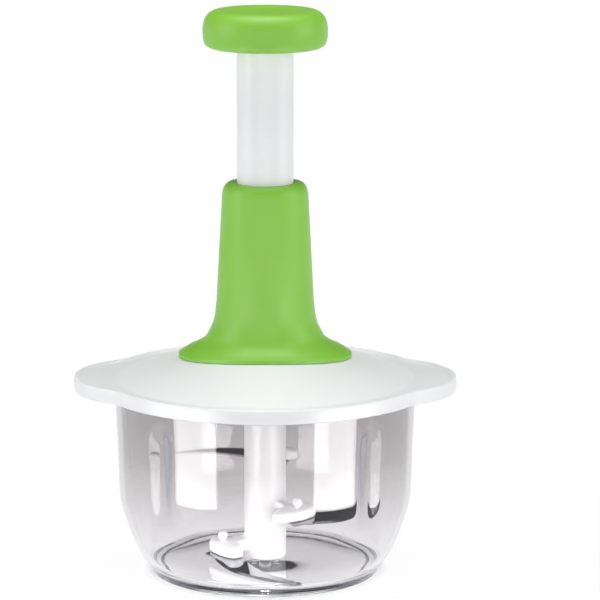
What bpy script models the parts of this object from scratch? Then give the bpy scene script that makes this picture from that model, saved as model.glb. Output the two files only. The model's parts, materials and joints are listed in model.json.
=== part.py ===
"""Manual food chopper: a knob pressed down by hand spins three blades in a clear bowl.

Metres, +Z up. The origin is on the table, under the middle of the bowl's foot.
Everything turns or slides on the Z axis. From the bottom up: the bowl with its pivot pin,
the blade shaft with three blades, the lid with the spiral drive in its middle, the column
bolted on the lid, and the plunger, which is the knob, its tube and the spiral rod.
"""

import math

import bmesh
import bpy
from mathutils import Matrix, Vector

for leftover in list(bpy.data.objects):
    bpy.data.objects.remove(leftover, do_unlink=True)

# Gaps that several pieces share
clearance = 0.0003
running_gap = 0.0004
overrun = 0.0020

# How finely round shapes are cut, as counts
bowl_sides = 44
lid_sides = 48
column_sides = 32
knob_sides = 32
shaft_sides = 24
small_sides = 20
screw_sides = 10
cylinder_start_share = 0.3
bore_start_share = 0.8

# Bowl
bowl_radius = 0.0635
bowl_height = 0.0790
bowl_wall = 0.0022
bowl_floor = 0.0020
foot_share = 0.756
foot_height = 0.0012
foot_width = 0.0026
foot_corner = 0.0006
floor_corner = 0.0030
rim_rounding = 0.0005
# Outside of the bowl, as shares of its radius and of its height
bowl_side_shares = (
    (0.783, 0.039),
    (0.836, 0.091),
    (0.874, 0.151),
    (0.923, 0.261),
    (0.961, 0.372),
    (0.975, 0.482),
    (0.983, 0.704),
    (1.000, 1.000),
)
rib_count = 4
rib_angle = math.radians(45)
rib_half_width = 0.0052
rib_depth = 0.0046
rib_root = 0.0010
rib_top_gap = 0.0072
# How full the rib is at a share of the bowl's height
rib_levels_shares = ((0.24, 0.10), (0.34, 0.60), (0.50, 1.00), (0.86, 1.00), (0.97, 0.50))
rib_arc_steps = 5

# Pivot pin in the bowl's floor
pin_radius = 0.0020
pin_length = 0.0156
pin_tip = 0.0006
pin_seat = 0.0032
boss_radius = 0.0060
boss_rise = 0.0018
boss_skin = 0.0012

# Seal between bowl and lid
gasket_thickness = 0.0013
gasket_overhang = 0.0004

# Lid
lid_plate = 0.0020
lid_overhang = 0.0061
ear_reach = 0.0111
ear_half_angle = math.radians(30)
ear_flatness = 2.4
ear_fullness = 1.4
dome_inset = 0.0005
dome_rise = 0.0156
dome_power = 1.5
dome_ring_shares = (0.47, 0.62, 0.78, 0.92)
lip_rise = 0.0011
lip_width = 0.0030
lip_crest = 0.0016
lip_shoulder = 0.0004
skirt_depth = 0.0050
skirt_draft = 0.0003
skirt_wall = 0.0020
skirt_root = 0.0002
locating_gap = 0.0006
locating_wall = 0.0016
locating_depth = 0.0050

# Drive housing, a well in the middle of the lid
well_inset = 0.0043
well_wall = 0.0018
well_floor = 0.0020
recess_gap = 0.0012
recess_depth = 0.0064
screw_circle_inset = 0.0031
lid_boss_radius = 0.0025
lid_boss_depth = 0.0046

# Screws
screw_radius = 0.0012
screw_play = 0.0003
screw_head_radius = 0.0021
screw_head_height = 0.0015
screw_socket_share = 0.45
screw_socket_depth = 0.0008
cover_screw_length = 0.0070
column_screw_length = 0.0110
knob_screw_length = 0.0064
cover_screw_angles = tuple(math.radians(45 + 90 * quarter) for quarter in range(4))
column_screw_angles = (0.0, math.pi)
knob_screw_angles = tuple(math.radians(30 + 120 * third) for third in range(3))

# Spiral drive
travel = 0.0500
lead = 0.0600
twist_step = math.radians(12)
rod_half_width = 0.0030
rod_half_thickness = 0.0013
rod_chamfer = 0.0005
rod_play = 0.0004
rod_tail = 0.0040
rod_margin = 0.0060
rod_shank_radius = 0.0024
rod_shank_blend = 0.0030
nut_gap = 0.0006
nut_height = 0.0080
washer_thickness = 0.0006
washer_inner = 0.0055
washer_inset = 0.0012
crown_inner = 0.0076
crown_teeth = 6
crown_height = 0.0020
crown_base = 0.0032
# One tooth: how far round its pitch and how high on its height, a ramp and then a steep face
crown_tooth_shares = ((0.0, 0.0), (0.31, 0.333), (0.62, 0.667), (0.93, 1.0))
crown_gap = 0.0006
crown_backlash = math.radians(2.4)
hub_neck_radius = 0.0089
hub_bore = 0.0046
hub_neck_below = 0.0024
clip_thickness = 0.0006
clip_width = 0.0026
clip_depth = 0.0008
clip_opening = math.radians(50)
clip_steps = 20
spigot_across_flats = 0.0128
spigot_length = 0.0108

# Cover of the drive housing, which is also the lower seat of the spring
cover_margin = 0.0023
cover_thickness = 0.0020
cover_collar_radius = 0.0058
cover_collar_height = 0.0030
cover_hole = 0.0042

# Column
column_wall = 0.0022
column_top_wall = 0.0024
column_base_radius = 0.0364
column_spread = 0.0024
column_top_reach = 0.00615
column_depth_share = 0.472
flare_height = 0.0245
# The flare: how far out it is between neck and base, and how high it is in its height
flare_shares = (
    (1.000, 0.065),
    (0.930, 0.095),
    (0.790, 0.150),
    (0.600, 0.205),
    (0.425, 0.270),
    (0.300, 0.340),
    (0.225, 0.420),
    (0.118, 0.560),
    (0.052, 0.715),
    (0.000, 1.000),
)
column_edge = 0.0044
# The rounded top edge, as shares of its size inwards and down
column_edge_shares = ((0.00, 1.00), (0.12, 0.53), (0.32, 0.20), (0.60, 0.00))
column_boss_radius = 0.0026
column_boss_height = 0.0290
column_bore_tip = 0.0010

# Guide bush in the top of the column
bush_length = 0.0133
bush_lead_in = 0.0008

# Plunger tube
tube_radius = 0.01185
tube_wall = 0.00165
tube_flange_reach = 0.00175
tube_flange = 0.0023
tube_collar_reach = 0.00205
tube_collar = 0.0016
stop_gap = 0.0060

# Knob
knob_rim = 0.0088
knob_height = 0.0157
knob_gap = 0.0063
knob_wall = 0.0024
# Outside of the knob from its lower lip to the middle of its dish, as shares of radius and height
knob_shares = (
    (0.820, 0.000),
    (0.888, 0.010),
    (0.962, 0.096),
    (0.992, 0.250),
    (1.000, 0.465),
    (0.990, 0.640),
    (0.962, 0.780),
    (0.905, 0.905),
    (0.835, 0.975),
    (0.765, 1.000),
    (0.690, 0.978),
    (0.520, 0.925),
    (0.260, 0.892),
)
knob_dish_share = 0.885
knob_lip_height = 0.0030
knob_boss_gap = 0.0013
knob_boss_drop = 0.0083
knob_clamp_wall = 0.0014
knob_pillar_radius = 0.0023
knob_pillar_gap = 0.0010
knob_base_thickness = 0.0030
rod_pin_radius = 0.0009
rod_pin_inset = 0.0007
rod_pin_rise = 0.0045
rod_top_gap = 0.0020

# Return spring
wire_radius = 0.0006
spring_radius = 0.0075
spring_turns = 12
spring_end_turns = 2
spring_end_pitch = 0.0018
spring_points = 8
spring_wire_sides = 5

# Blade shaft
shaft_radius = 0.0089
shaft_bore = 0.0056
shaft_foot_gap = 0.0003
shaft_rounding = 0.0015
bush_top_wall = 0.0022
bush_play = 0.0003

# Blades: height, length, sweep from the arm, bank about the blade's own line, droop to the tip
blade_spacing = math.radians(120)
first_arm = math.radians(193)
blade_names = ("lower", "middle", "upper")
blade_heights = (0.0076, 0.0250, 0.0436)
# Lengths of the blades past their pegs, as shares of the bowl's radius
blade_length_shares = (0.819, 0.706, 0.721)
blade_sweeps = (math.radians(115), math.radians(91), math.radians(95))
blade_banks = (math.radians(8), math.radians(15), math.radians(-6))
blade_droops = (math.radians(2.2), 0.0, 0.0)
blade_thickness = 0.0008
blade_width = 0.0120
blade_tang = 0.0055
blade_bow = 0.0055
blade_tip = 0.0007
blade_steps = 12
blade_belly_share = 0.25
blade_taper_power = 2.2

# Arm and peg that hold each blade
arm_radius = 0.0178
clamp_back = 0.0092
clamp_front = 0.0112
clamp_half_width = 0.0043
clamp_height = 0.0046
clamp_steps = 20
clamp_square = 2.6
# Rounding of the clamp: share of its outline at a share of its height
clamp_round_shares = ((1.00, 0.00), (1.00, 0.55), (0.90, 0.82), (0.66, 0.97))
neck_half_width = 0.0031
neck_height = 0.0040
neck_bite = 0.0018
peg_radius = 0.0011
peg_ball = 0.0021
peg_foot_radius = 0.0021
peg_foot = 0.0009
peg_ball_steps = 5

# Radii that follow the bowl's
foot_radius = foot_share * bowl_radius
lid_radius = bowl_radius + lid_overhang
dome_radius = bowl_radius - dome_inset

# Radii that follow the tube's
tube_flange_radius = tube_radius + tube_flange_reach
tube_collar_radius = tube_radius + tube_collar_reach
column_top_radius = tube_radius + column_top_reach
column_neck_radius = column_top_radius + column_spread
screw_circle = column_neck_radius - screw_circle_inset
cover_radius = screw_circle + cover_margin
recess_radius = cover_radius + recess_gap
well_radius = screw_circle - well_inset
nut_radius = well_radius - nut_gap
washer_outer = nut_radius - washer_inset
knob_boss_radius = tube_radius - tube_wall - knob_boss_gap
rod_pin_length = 2 * (knob_boss_radius - rod_pin_inset)
knob_screw_circle = tube_collar_radius + knob_pillar_radius + knob_pillar_gap
knob_radius = knob_screw_circle + knob_rim

# Places worked out from the sizes, from the floor up
floor_top = foot_height + bowl_floor
boss_top = floor_top + boss_rise
pin_bottom = boss_top - pin_seat + clearance
pin_top = pin_bottom + pin_length
shaft_bottom = boss_top + shaft_foot_gap
gasket_bottom = bowl_height + clearance
lid_seat = gasket_bottom + gasket_thickness + clearance
valley = lid_seat + lid_plate
plate_top = valley + dome_rise * (1 - (recess_radius / dome_radius) ** dome_power) - recess_depth
plate_bottom = plate_top - lid_plate
cover_bottom = plate_top + clearance
cover_top = cover_bottom + cover_thickness
washer_bottom = cover_bottom - clearance - washer_thickness
nut_top = washer_bottom - clearance
crown_low = nut_top - nut_height - crown_gap - crown_height
hub_flange_bottom = crown_low - crown_base
well_floor_top = hub_flange_bottom - clearance
well_floor_bottom = well_floor_top - well_floor
nut_bottom = crown_low + crown_gap
hub_neck_bottom = well_floor_bottom - hub_neck_below
shaft_top = hub_neck_bottom - clearance
spigot_bottom = hub_neck_bottom - spigot_length
column_base = valley + dome_rise * (1 - (column_base_radius / dome_radius) ** dome_power) + clearance
flare_top = column_base + flare_height
tube_bottom = cover_top + stop_gap + travel
bush_bottom = tube_bottom + tube_flange + clearance
bush_top = bush_bottom + bush_length
column_top = bush_top + clearance + column_top_wall
knob_bottom = column_top + travel + knob_gap
knob_base_bottom = knob_bottom + clearance
knob_base_top = knob_base_bottom + knob_base_thickness
collar_bottom = knob_base_top + clearance
tube_top = collar_bottom + tube_collar
clamp_ring_bottom = tube_top + clearance
knob_ceiling = knob_bottom + knob_height * knob_dish_share - knob_wall
knob_boss_bottom = knob_bottom - knob_boss_drop
rod_bottom = nut_bottom - rod_tail
rod_top = knob_ceiling - rod_top_gap
spiral_top = nut_top + travel + rod_margin
spring_bottom = cover_top + clearance
spring_top = knob_boss_bottom - clearance
screw_bore = screw_radius + screw_play


def srgb(code):
    """Linear colour of an sRGB hex code."""
    parts = [int(code[start:start + 2], 16) / 255 for start in (1, 3, 5)]
    return [part / 12.92 if part <= 0.04045 else ((part + 0.055) / 1.055) ** 2.4 for part in parts] + [1.0]


def material(name, code, roughness, metallic=0.0, transmission=0.0):
    """Principled material with the colour, roughness and metal of the real piece."""
    made = bpy.data.materials.new(name)
    made.use_nodes = True
    shader = made.node_tree.nodes["Principled BSDF"]
    shader.inputs["Base Color"].default_value = srgb(code)
    shader.inputs["Roughness"].default_value = roughness
    shader.inputs["Metallic"].default_value = metallic
    shader.inputs["Transmission Weight"].default_value = transmission
    return made


def circle(radius, height, sides, middle=(0.0, 0.0), start_share=0.0):
    """Ring of points round an upright axis, or one point where the radius is zero."""
    if radius == 0:
        return [Vector((middle[0], middle[1], height))]
    ring = []
    for side in range(sides):
        angle = 2 * math.pi * (side + start_share) / sides
        x = middle[0] + radius * math.cos(angle)
        y = middle[1] + radius * math.sin(angle)
        ring.append(Vector((x, y, height)))
    return ring


def skin(name, rings, closed):
    """Mesh object whose surface runs through rings of points; a ring of one point is a pole."""
    shell = bmesh.new()
    rows = [[shell.verts.new(point) for point in ring] for ring in rings]
    pairs = list(zip(rows, rows[1:]))
    if closed:
        pairs.append((rows[-1], rows[0]))
    for low, high in pairs:
        count = max(len(low), len(high))
        if count == 1:
            continue
        for step in range(count):
            after = (step + 1) % count
            corners = [low[step % len(low)], low[after % len(low)]]
            corners += [high[after % len(high)], high[step % len(high)]]
            shell.faces.new(list(dict.fromkeys(corners)))
    bmesh.ops.recalc_face_normals(shell, faces=shell.faces)
    mesh = bpy.data.meshes.new(name)
    shell.to_mesh(mesh)
    shell.free()
    mesh.shade_smooth()
    mesh.set_sharp_from_angle(angle=math.radians(35))
    made = bpy.data.objects.new(name, mesh)
    bpy.context.collection.objects.link(made)
    return made


def turned(name, profile, sides, closed=True):
    """Turned piece from a profile of radius and height; it isn't closed where it starts on the axis."""
    return skin(name, [circle(radius, height, sides) for radius, height in profile], closed)


def prism(name, outline, bottom, top):
    """Straight piece with an outline of x and y and flat ends."""
    shell = bmesh.new()
    low = [shell.verts.new((x, y, bottom)) for x, y in outline]
    high = [shell.verts.new((x, y, top)) for x, y in outline]
    shell.faces.new(low)
    shell.faces.new(high)
    for step in range(len(outline)):
        after = (step + 1) % len(outline)
        shell.faces.new((low[step], low[after], high[after], high[step]))
    bmesh.ops.recalc_face_normals(shell, faces=shell.faces)
    mesh = bpy.data.meshes.new(name)
    shell.to_mesh(mesh)
    shell.free()
    made = bpy.data.objects.new(name, mesh)
    bpy.context.collection.objects.link(made)
    return made


def rod_between(name, radius, bottom, top, sides, middle=(0.0, 0.0), start_share=cylinder_start_share):
    """Plain upright cylinder; its corners are turned off those of the pieces that it cuts or joins."""
    rings = [
        circle(0, bottom, sides, middle),
        circle(radius, bottom, sides, middle, start_share),
        circle(radius, top, sides, middle, start_share),
        circle(0, top, sides, middle),
    ]
    return skin(name, rings, False)


def drill(name, bottom, top, middle):
    """Screw bore; its corners lie between those of the boss around it."""
    return rod_between(name, screw_bore, bottom, top, screw_sides, middle, bore_start_share)


def combine(target, tool, operation):
    """Boolean of a target with a tool, which stays as a hidden guide."""
    tool.hide_render = True
    tool.display_type = "WIRE"
    step = target.modifiers.new(operation.lower(), "BOOLEAN")
    step.operation = operation
    step.object = tool
    step.solver = "EXACT"


def on_circle(radius, angle):
    """Point at a radius and an angle round the Z axis."""
    return radius * math.cos(angle), radius * math.sin(angle)


def inward(path, distance):
    """Path of radius and height, moved inwards by a wall; the path runs upwards on the outside."""
    moved = []
    for index, (radius, height) in enumerate(path):
        before = path[max(index - 1, 0)]
        after = path[min(index + 1, len(path) - 1)]
        normals = []
        for start, end in ((before, (radius, height)), ((radius, height), after)):
            along = Vector((end[0] - start[0], end[1] - start[1]))
            if along.length > 0:
                normals.append(Vector((-along.y, along.x)).normalized())
        normal = sum(normals, Vector((0.0, 0.0))).normalized()
        moved.append((radius + normal.x * distance, height + normal.y * distance))
    return moved


def axis(name, parent=None):
    """Empty on the axis that carries the pieces of one moving body."""
    made = bpy.data.objects.new(name, None)
    bpy.context.collection.objects.link(made)
    made.parent = parent
    return made


def finish(piece, look, body):
    """Gives a piece its material and hangs it on its body."""
    piece.data.materials.append(look)
    piece.parent = body


# Looks of the real pieces
clear_plastic = material("clear_styrene", "#E6E2E8", 0.05, transmission=0.9)
white_plastic = material("white_polypropylene", "#EEF0F2", 0.30)
green_plastic = material("green_abs", "#8CC751", 0.28)
tube_plastic = material("milky_tube", "#E9ECEE", 0.25)
natural_plastic = material("natural_acetal", "#E9E6DC", 0.40)
white_rubber = material("white_silicone", "#E4E4E0", 0.60)
polished_steel = material("polished_steel", "#8C8E90", 0.12, metallic=1.0)
plain_steel = material("plain_steel", "#A9ABAD", 0.35, metallic=1.0)

base_body = axis("base_axis")
lid_body = axis("lid_axis", base_body)
plunger_body = axis("plunger_axis", lid_body)
drive_body = axis("drive_axis", lid_body)
blade_body = axis("blade_axis", base_body)


# Bowl with its flow ribs
def bowl_outside():
    """Outside of the bowl from just above the foot to the rim."""
    return [(share * bowl_radius, rise * bowl_height) for share, rise in bowl_side_shares]


def bowl_inner_radius(height):
    """Inner radius of the bowl at a height."""
    path = inward(bowl_outside(), bowl_wall)
    for (low_radius, low), (high_radius, high) in zip(path, path[1:]):
        if low <= height <= high:
            return low_radius + (high_radius - low_radius) * (height - low) / (high - low)
    return path[-1][0]


def make_bowl():
    outside = bowl_outside()
    inside = inward(outside, bowl_wall)
    rim_radius = inside[-1][0]
    foot_inner = foot_radius - foot_width
    profile = [
        (0, pin_bottom - clearance - boss_skin),
        (boss_radius, pin_bottom - clearance - boss_skin),
        (boss_radius, foot_height),
        (foot_inner - foot_height, foot_height),
        (foot_inner, 0),
        (foot_radius, 0),
        (foot_radius + foot_corner, foot_corner),
        *outside[:-1],
        (bowl_radius, bowl_height - rim_rounding),
        (bowl_radius - rim_rounding, bowl_height),
        (rim_radius + rim_rounding, bowl_height),
        (rim_radius, bowl_height - rim_rounding),
        *reversed(inside[:-1]),
        (inside[0][0] - floor_corner, floor_top),
        (boss_radius, floor_top),
        (boss_radius, boss_top),
        (pin_radius + clearance, boss_top),
        (pin_radius + clearance, pin_bottom - clearance),
        (0, pin_bottom - clearance),
    ]
    bowl = turned("bowl", profile, bowl_sides, closed=False)
    for number in range(rib_count):
        combine(bowl, make_rib(number), "UNION")
    finish(bowl, clear_plastic, base_body)


def make_rib(number):
    """Upright half-round rib on the inside of the wall, which breaks the spinning food."""
    angle = rib_angle + 2 * math.pi * number / rib_count
    out = Vector((math.cos(angle), math.sin(angle), 0))
    across = Vector((-math.sin(angle), math.cos(angle), 0))
    rib_top = bowl_height - rib_top_gap
    deepest = bowl_inner_radius(rib_top) - rib_depth
    rings = []
    for rise, fullness in rib_levels_shares:
        height = rise * rib_top
        wall = bowl_inner_radius(height)
        depth = max(wall - deepest, clearance) * fullness
        half_width = rib_half_width * math.sqrt(fullness)
        ring = []
        for step in range(rib_arc_steps + 1):
            turn = math.pi * step / rib_arc_steps
            reach = wall - depth * math.sin(turn)
            ring.append(out * reach + across * half_width * math.cos(turn) + Vector((0, 0, height)))
        back = out * (wall + rib_root)
        ring.append(back - across * half_width + Vector((0, 0, height)))
        ring.append(back + across * half_width + Vector((0, 0, height)))
        rings.append(ring)
    ends = []
    for ring, side in ((rings[0], -1), (rings[-1], 1)):
        middle = sum(ring, Vector()) / len(ring)
        ends.append([middle + Vector((0, 0, side * clearance))])
    return skin("rib_guide_" + str(number + 1), [ends[0], *rings, ends[1]], False)


def make_pivot_pin():
    profile = [
        (0, pin_bottom),
        (pin_radius, pin_bottom),
        (pin_radius, pin_top - pin_tip),
        (pin_radius - pin_tip, pin_top),
        (0, pin_top),
    ]
    finish(turned("pivot_pin", profile, small_sides, closed=False), polished_steel, base_body)


# Lid
def dome_height(radius):
    """Height of the lid's dome at a radius."""
    return valley + dome_rise * (1 - min(radius / dome_radius, 1) ** dome_power)


def lid_outline(angle):
    """Radius of the lid's edge at an angle: round, with an ear at each side."""
    off_axis = abs(math.atan(math.tan(angle)))
    if off_axis >= ear_half_angle:
        return lid_radius
    rest = 1 - (off_axis / ear_half_angle) ** ear_flatness
    return lid_radius + ear_reach * rest ** ear_fullness


def edge_ring(inset, height):
    """Ring of points inside the lid's edge by an inset."""
    points = []
    for side in range(lid_sides):
        angle = 2 * math.pi * side / lid_sides
        x, y = on_circle(lid_outline(angle) - inset, angle)
        points.append(Vector((x, y, height)))
    return points


def make_lid():
    locating_outer = bowl_inner_radius(bowl_height) - locating_gap
    locating_inner = locating_outer - locating_wall
    crest = valley + lip_rise
    skirt_bottom = valley - skirt_depth
    recess_outer = recess_radius + lid_plate
    dome_rings = [share * dome_radius for share in dome_ring_shares]
    hub_hole = hub_neck_radius + running_gap
    upper = [
        (hub_hole, well_floor_top),
        (well_radius, well_floor_top),
        (well_radius, plate_top),
        (recess_radius, plate_top),
        (recess_radius, dome_height(recess_radius)),
        *[(radius, dome_height(radius)) for radius in dome_rings],
        (dome_radius, valley),
    ]
    lower = [
        (locating_outer, lid_seat),
        (locating_outer, lid_seat - locating_depth),
        (locating_inner, lid_seat - locating_depth),
        (locating_inner, dome_height(locating_inner) - lid_plate),
        *[(radius, dome_height(radius) - lid_plate) for radius in reversed(dome_rings[:-2])],
        (recess_outer, dome_height(recess_outer) - lid_plate),
        (recess_outer, plate_bottom),
        (well_radius + well_wall, plate_bottom),
        (well_radius + well_wall, well_floor_bottom),
        (hub_hole, well_floor_bottom),
    ]
    edge = [
        edge_ring(lip_width, valley),
        edge_ring(lip_crest, crest),
        edge_ring(lip_shoulder, crest - lip_shoulder),
        edge_ring(0, crest - lip_crest),
        edge_ring(skirt_draft, skirt_bottom),
        edge_ring(skirt_wall, skirt_bottom),
        edge_ring(skirt_wall + skirt_root, lid_seat),
    ]
    rings = [circle(radius, height, lid_sides) for radius, height in upper]
    rings += edge
    rings += [circle(radius, height, lid_sides) for radius, height in lower]
    lid = skin("lid", rings, True)
    boss_bottom = plate_bottom - lid_boss_depth
    for number, angle in enumerate(cover_screw_angles):
        middle = on_circle(screw_circle, angle)
        boss_top_inside = plate_top - lid_plate / 2
        boss = rod_between(
            "lid_boss_guide_" + str(number + 1), lid_boss_radius, boss_bottom, boss_top_inside,
            screw_sides, middle)
        combine(lid, boss, "UNION")
    for number, angle in enumerate(cover_screw_angles):
        middle = on_circle(screw_circle, angle)
        bore_bottom = boss_bottom + lid_boss_radius / 2
        bore = drill("lid_bore_" + str(number + 1), bore_bottom, plate_top + overrun, middle)
        combine(lid, bore, "DIFFERENCE")
    for number, angle in enumerate(column_screw_angles):
        middle = on_circle(screw_circle, angle)
        bore = drill("lid_hole_" + str(number + 1), plate_bottom - overrun, plate_top + overrun, middle)
        combine(lid, bore, "DIFFERENCE")
    finish(lid, white_plastic, lid_body)


def make_gasket():
    inner = bowl_inner_radius(bowl_height) - locating_gap + clearance
    outer = bowl_radius + gasket_overhang
    top = gasket_bottom + gasket_thickness
    profile = [(inner, gasket_bottom), (outer, gasket_bottom), (outer, top), (inner, top)]
    finish(turned("lid_gasket", profile, bowl_sides), white_rubber, lid_body)


# Column on the lid
def column_point(radius, angle, neck):
    """Point of a column ring: round down to the neck, and less deep than wide below it."""
    depth = radius if radius <= neck else neck + (radius - neck) * column_depth_share
    return radius * math.cos(angle), depth * math.sin(angle)


def column_ring(radius, height, neck):
    """Ring of the column; in the flare its height is measured from the lid's dome under it."""
    base_radius = column_base_radius - (column_neck_radius - neck)
    points = []
    for side in range(column_sides):
        angle = 2 * math.pi * side / column_sides
        x, y = column_point(radius, angle, neck)
        foot_x, foot_y = column_point(base_radius, angle, neck)
        foot = dome_height(math.hypot(foot_x, foot_y)) + clearance
        if height < flare_top:
            share = (height - column_base) / flare_height
            level = foot + share * (flare_top - foot)
        else:
            level = height
        points.append(Vector((x, y, level)))
    return points


def make_column():
    flare_span = column_base_radius - column_neck_radius
    outside = [(column_base_radius, column_base)]
    for out, rise in flare_shares:
        outside.append((column_neck_radius + out * flare_span, column_base + rise * flare_height))
    for inset, drop in column_edge_shares:
        outside.append((column_top_radius - inset * column_edge, column_top - drop * column_edge))
    inner_neck = column_neck_radius - column_wall
    inside = inward(outside, column_wall)[1:len(flare_shares) + 1]
    top_inner_radius = column_top_radius - column_wall
    hole = tube_radius + running_gap
    rings = [column_ring(radius, height, column_neck_radius) for radius, height in outside]
    rings.append(circle(hole, column_top, column_sides))
    rings.append(circle(hole, column_top - column_top_wall, column_sides))
    rings.append(circle(top_inner_radius, column_top - column_top_wall, column_sides))
    rings += [column_ring(radius, height, inner_neck) for radius, height in reversed(inside)]
    rings.append(column_ring(column_base_radius - column_wall, column_base, inner_neck))
    column = skin("column", rings, True)
    boss_bottom = plate_top + clearance
    boss_end = boss_bottom + column_boss_height
    bore_end = plate_bottom - clearance + column_screw_length + column_bore_tip
    for number, angle in enumerate(column_screw_angles):
        middle = on_circle(screw_circle, angle)
        boss = rod_between(
            "column_boss_guide_" + str(number + 1), column_boss_radius, boss_bottom, boss_end,
            screw_sides, middle)
        combine(column, boss, "UNION")
    for number, angle in enumerate(column_screw_angles):
        middle = on_circle(screw_circle, angle)
        bore = drill("column_bore_" + str(number + 1), boss_bottom - overrun, bore_end, middle)
        combine(column, bore, "DIFFERENCE")
    finish(column, green_plastic, lid_body)


def make_guide_bush():
    inner = tube_radius + clearance
    outer = column_top_radius - column_wall - clearance
    profile = [
        (inner + bush_lead_in, bush_bottom),
        (outer, bush_bottom),
        (outer, bush_top),
        (inner, bush_top),
        (inner, bush_bottom + bush_lead_in),
    ]
    finish(turned("guide_bush", profile, shaft_sides), natural_plastic, lid_body)


# Screws
def make_screw(name, length, seat, pointing, place, body):
    """Round-headed screw with a hex recess; its head rests at the seat and its shank points up or down."""
    tip = screw_radius / 2
    socket = screw_head_radius * screw_socket_share
    profile = [
        (0, pointing * length),
        (tip, pointing * length),
        (screw_radius, pointing * (length - tip)),
        (screw_radius, 0),
        (screw_head_radius, 0),
        (screw_head_radius, -pointing * screw_head_height),
        (socket, -pointing * screw_head_height),
        (socket, -pointing * (screw_head_height - screw_socket_depth)),
        (0, -pointing * (screw_head_height - screw_socket_depth)),
    ]
    screw = turned(name, profile, screw_sides, closed=False)
    screw.location = (place[0], place[1], seat)
    finish(screw, plain_steel, body)


def make_screws():
    for number, angle in enumerate(cover_screw_angles):
        make_screw("cover_screw_" + str(number + 1), cover_screw_length, cover_top + clearance, -1,
                   on_circle(screw_circle, angle), lid_body)
    for number, angle in enumerate(column_screw_angles):
        make_screw("column_screw_" + str(number + 1), column_screw_length, plate_bottom - clearance, 1,
                   on_circle(screw_circle, angle), lid_body)
    seat = knob_base_bottom + screw_head_height + clearance
    for number, angle in enumerate(knob_screw_angles):
        make_screw("knob_screw_" + str(number + 1), knob_screw_length, seat, 1,
                   on_circle(knob_screw_circle, angle), plunger_body)


# Drive housing
def make_cover():
    collar_top = cover_top + cover_collar_height
    profile = [
        (cover_hole, cover_bottom),
        (cover_radius, cover_bottom),
        (cover_radius, cover_top),
        (cover_collar_radius, cover_top),
        (cover_collar_radius, collar_top),
        (cover_hole, collar_top),
    ]
    cover = turned("gearbox_cover", profile, small_sides)
    for number, angle in enumerate(cover_screw_angles):
        middle = on_circle(screw_circle, angle)
        hole = drill("cover_hole_" + str(number + 1), cover_bottom - overrun, cover_top + overrun, middle)
        combine(cover, hole, "DIFFERENCE")
    for number, angle in enumerate(column_screw_angles):
        middle = on_circle(screw_circle, angle)
        notch = rod_between(
            "cover_notch_" + str(number + 1), column_boss_radius + clearance,
            cover_bottom - overrun, cover_top + overrun, screw_sides, middle)
        combine(cover, notch, "DIFFERENCE")
    finish(cover, white_plastic, lid_body)


def make_thrust_washer():
    top = washer_bottom + washer_thickness
    profile = [
        (washer_inner, washer_bottom),
        (washer_outer, washer_bottom),
        (washer_outer, top),
        (washer_inner, top),
    ]
    finish(turned("thrust_washer", profile, small_sides), plain_steel, drive_body)


# Spiral rod and nut
def bar_section(half_width, half_thickness, chamfer):
    """Flat bar with chamfered edges, seen along the rod."""
    return [
        (half_width, half_thickness - chamfer),
        (half_width - chamfer, half_thickness),
        (0, half_thickness),
        (chamfer - half_width, half_thickness),
        (-half_width, half_thickness - chamfer),
        (-half_width, chamfer - half_thickness),
        (chamfer - half_width, -half_thickness),
        (0, -half_thickness),
        (half_width - chamfer, -half_thickness),
        (half_width, chamfer - half_thickness),
    ]


def twisted_ring(section, height):
    """Section turned by the lead at a height."""
    turn = 2 * math.pi * height / lead
    cosine, sine = math.cos(turn), math.sin(turn)
    return [Vector((x * cosine - y * sine, x * sine + y * cosine, height)) for x, y in section]


def twisted_rings(section, bottom, top):
    """Rings of a twisted bar, close enough for its flats to stay true."""
    count = max(1, math.ceil((top - bottom) / (lead * twist_step / (2 * math.pi))))
    return [twisted_ring(section, bottom + (top - bottom) * step / count) for step in range(count + 1)]


def make_spiral_rod():
    section = bar_section(rod_half_width, rod_half_thickness, rod_chamfer)
    rings = [[Vector((0, 0, rod_bottom))], *twisted_rings(section, rod_bottom, spiral_top)]
    end_turn = 2 * math.pi * spiral_top / lead
    for height in (spiral_top + rod_shank_blend, rod_top):
        ring = []
        for x, y in section:
            angle = end_turn + math.atan2(y / rod_half_thickness, x / rod_half_width)
            x_turned, y_turned = on_circle(rod_shank_radius, angle)
            ring.append(Vector((x_turned, y_turned, height)))
        rings.append(ring)
    rings.append([Vector((0, 0, rod_top))])
    rod = skin("spiral_rod", rings, False)
    combine(rod, rod_pin_tool("rod_pin_hole", rod_pin_radius + clearance, overrun), "DIFFERENCE")
    finish(rod, plain_steel, plunger_body)


def rod_pin_tool(name, radius, extra):
    """Cylinder along X at the height of the cross pin."""
    half = rod_pin_length / 2 + extra
    height = knob_boss_bottom + rod_pin_rise
    tool = rod_between(name, radius, -half, half, screw_sides)
    tool.data.transform(Matrix.Translation((0, 0, height)) @ Matrix.Rotation(math.pi / 2, 4, "Y"))
    return tool


def make_rod_pin():
    finish(rod_pin_tool("rod_pin", rod_pin_radius, 0), polished_steel, plunger_body)


def crown_ring(radius, level, shift):
    """Ring that follows the saw teeth of the one-way clutch."""
    points = []
    pitch = 2 * math.pi / crown_teeth
    for tooth in range(crown_teeth):
        for share, rise in crown_tooth_shares:
            x, y = on_circle(radius, pitch * (tooth + share) + shift)
            points.append(Vector((x, y, level + rise * crown_height)))
    return points


def flat_crown_ring(radius, level, shift):
    """Flat ring with the same angles as the saw teeth."""
    return [Vector((point.x, point.y, level)) for point in crown_ring(radius, level, shift)]


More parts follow.
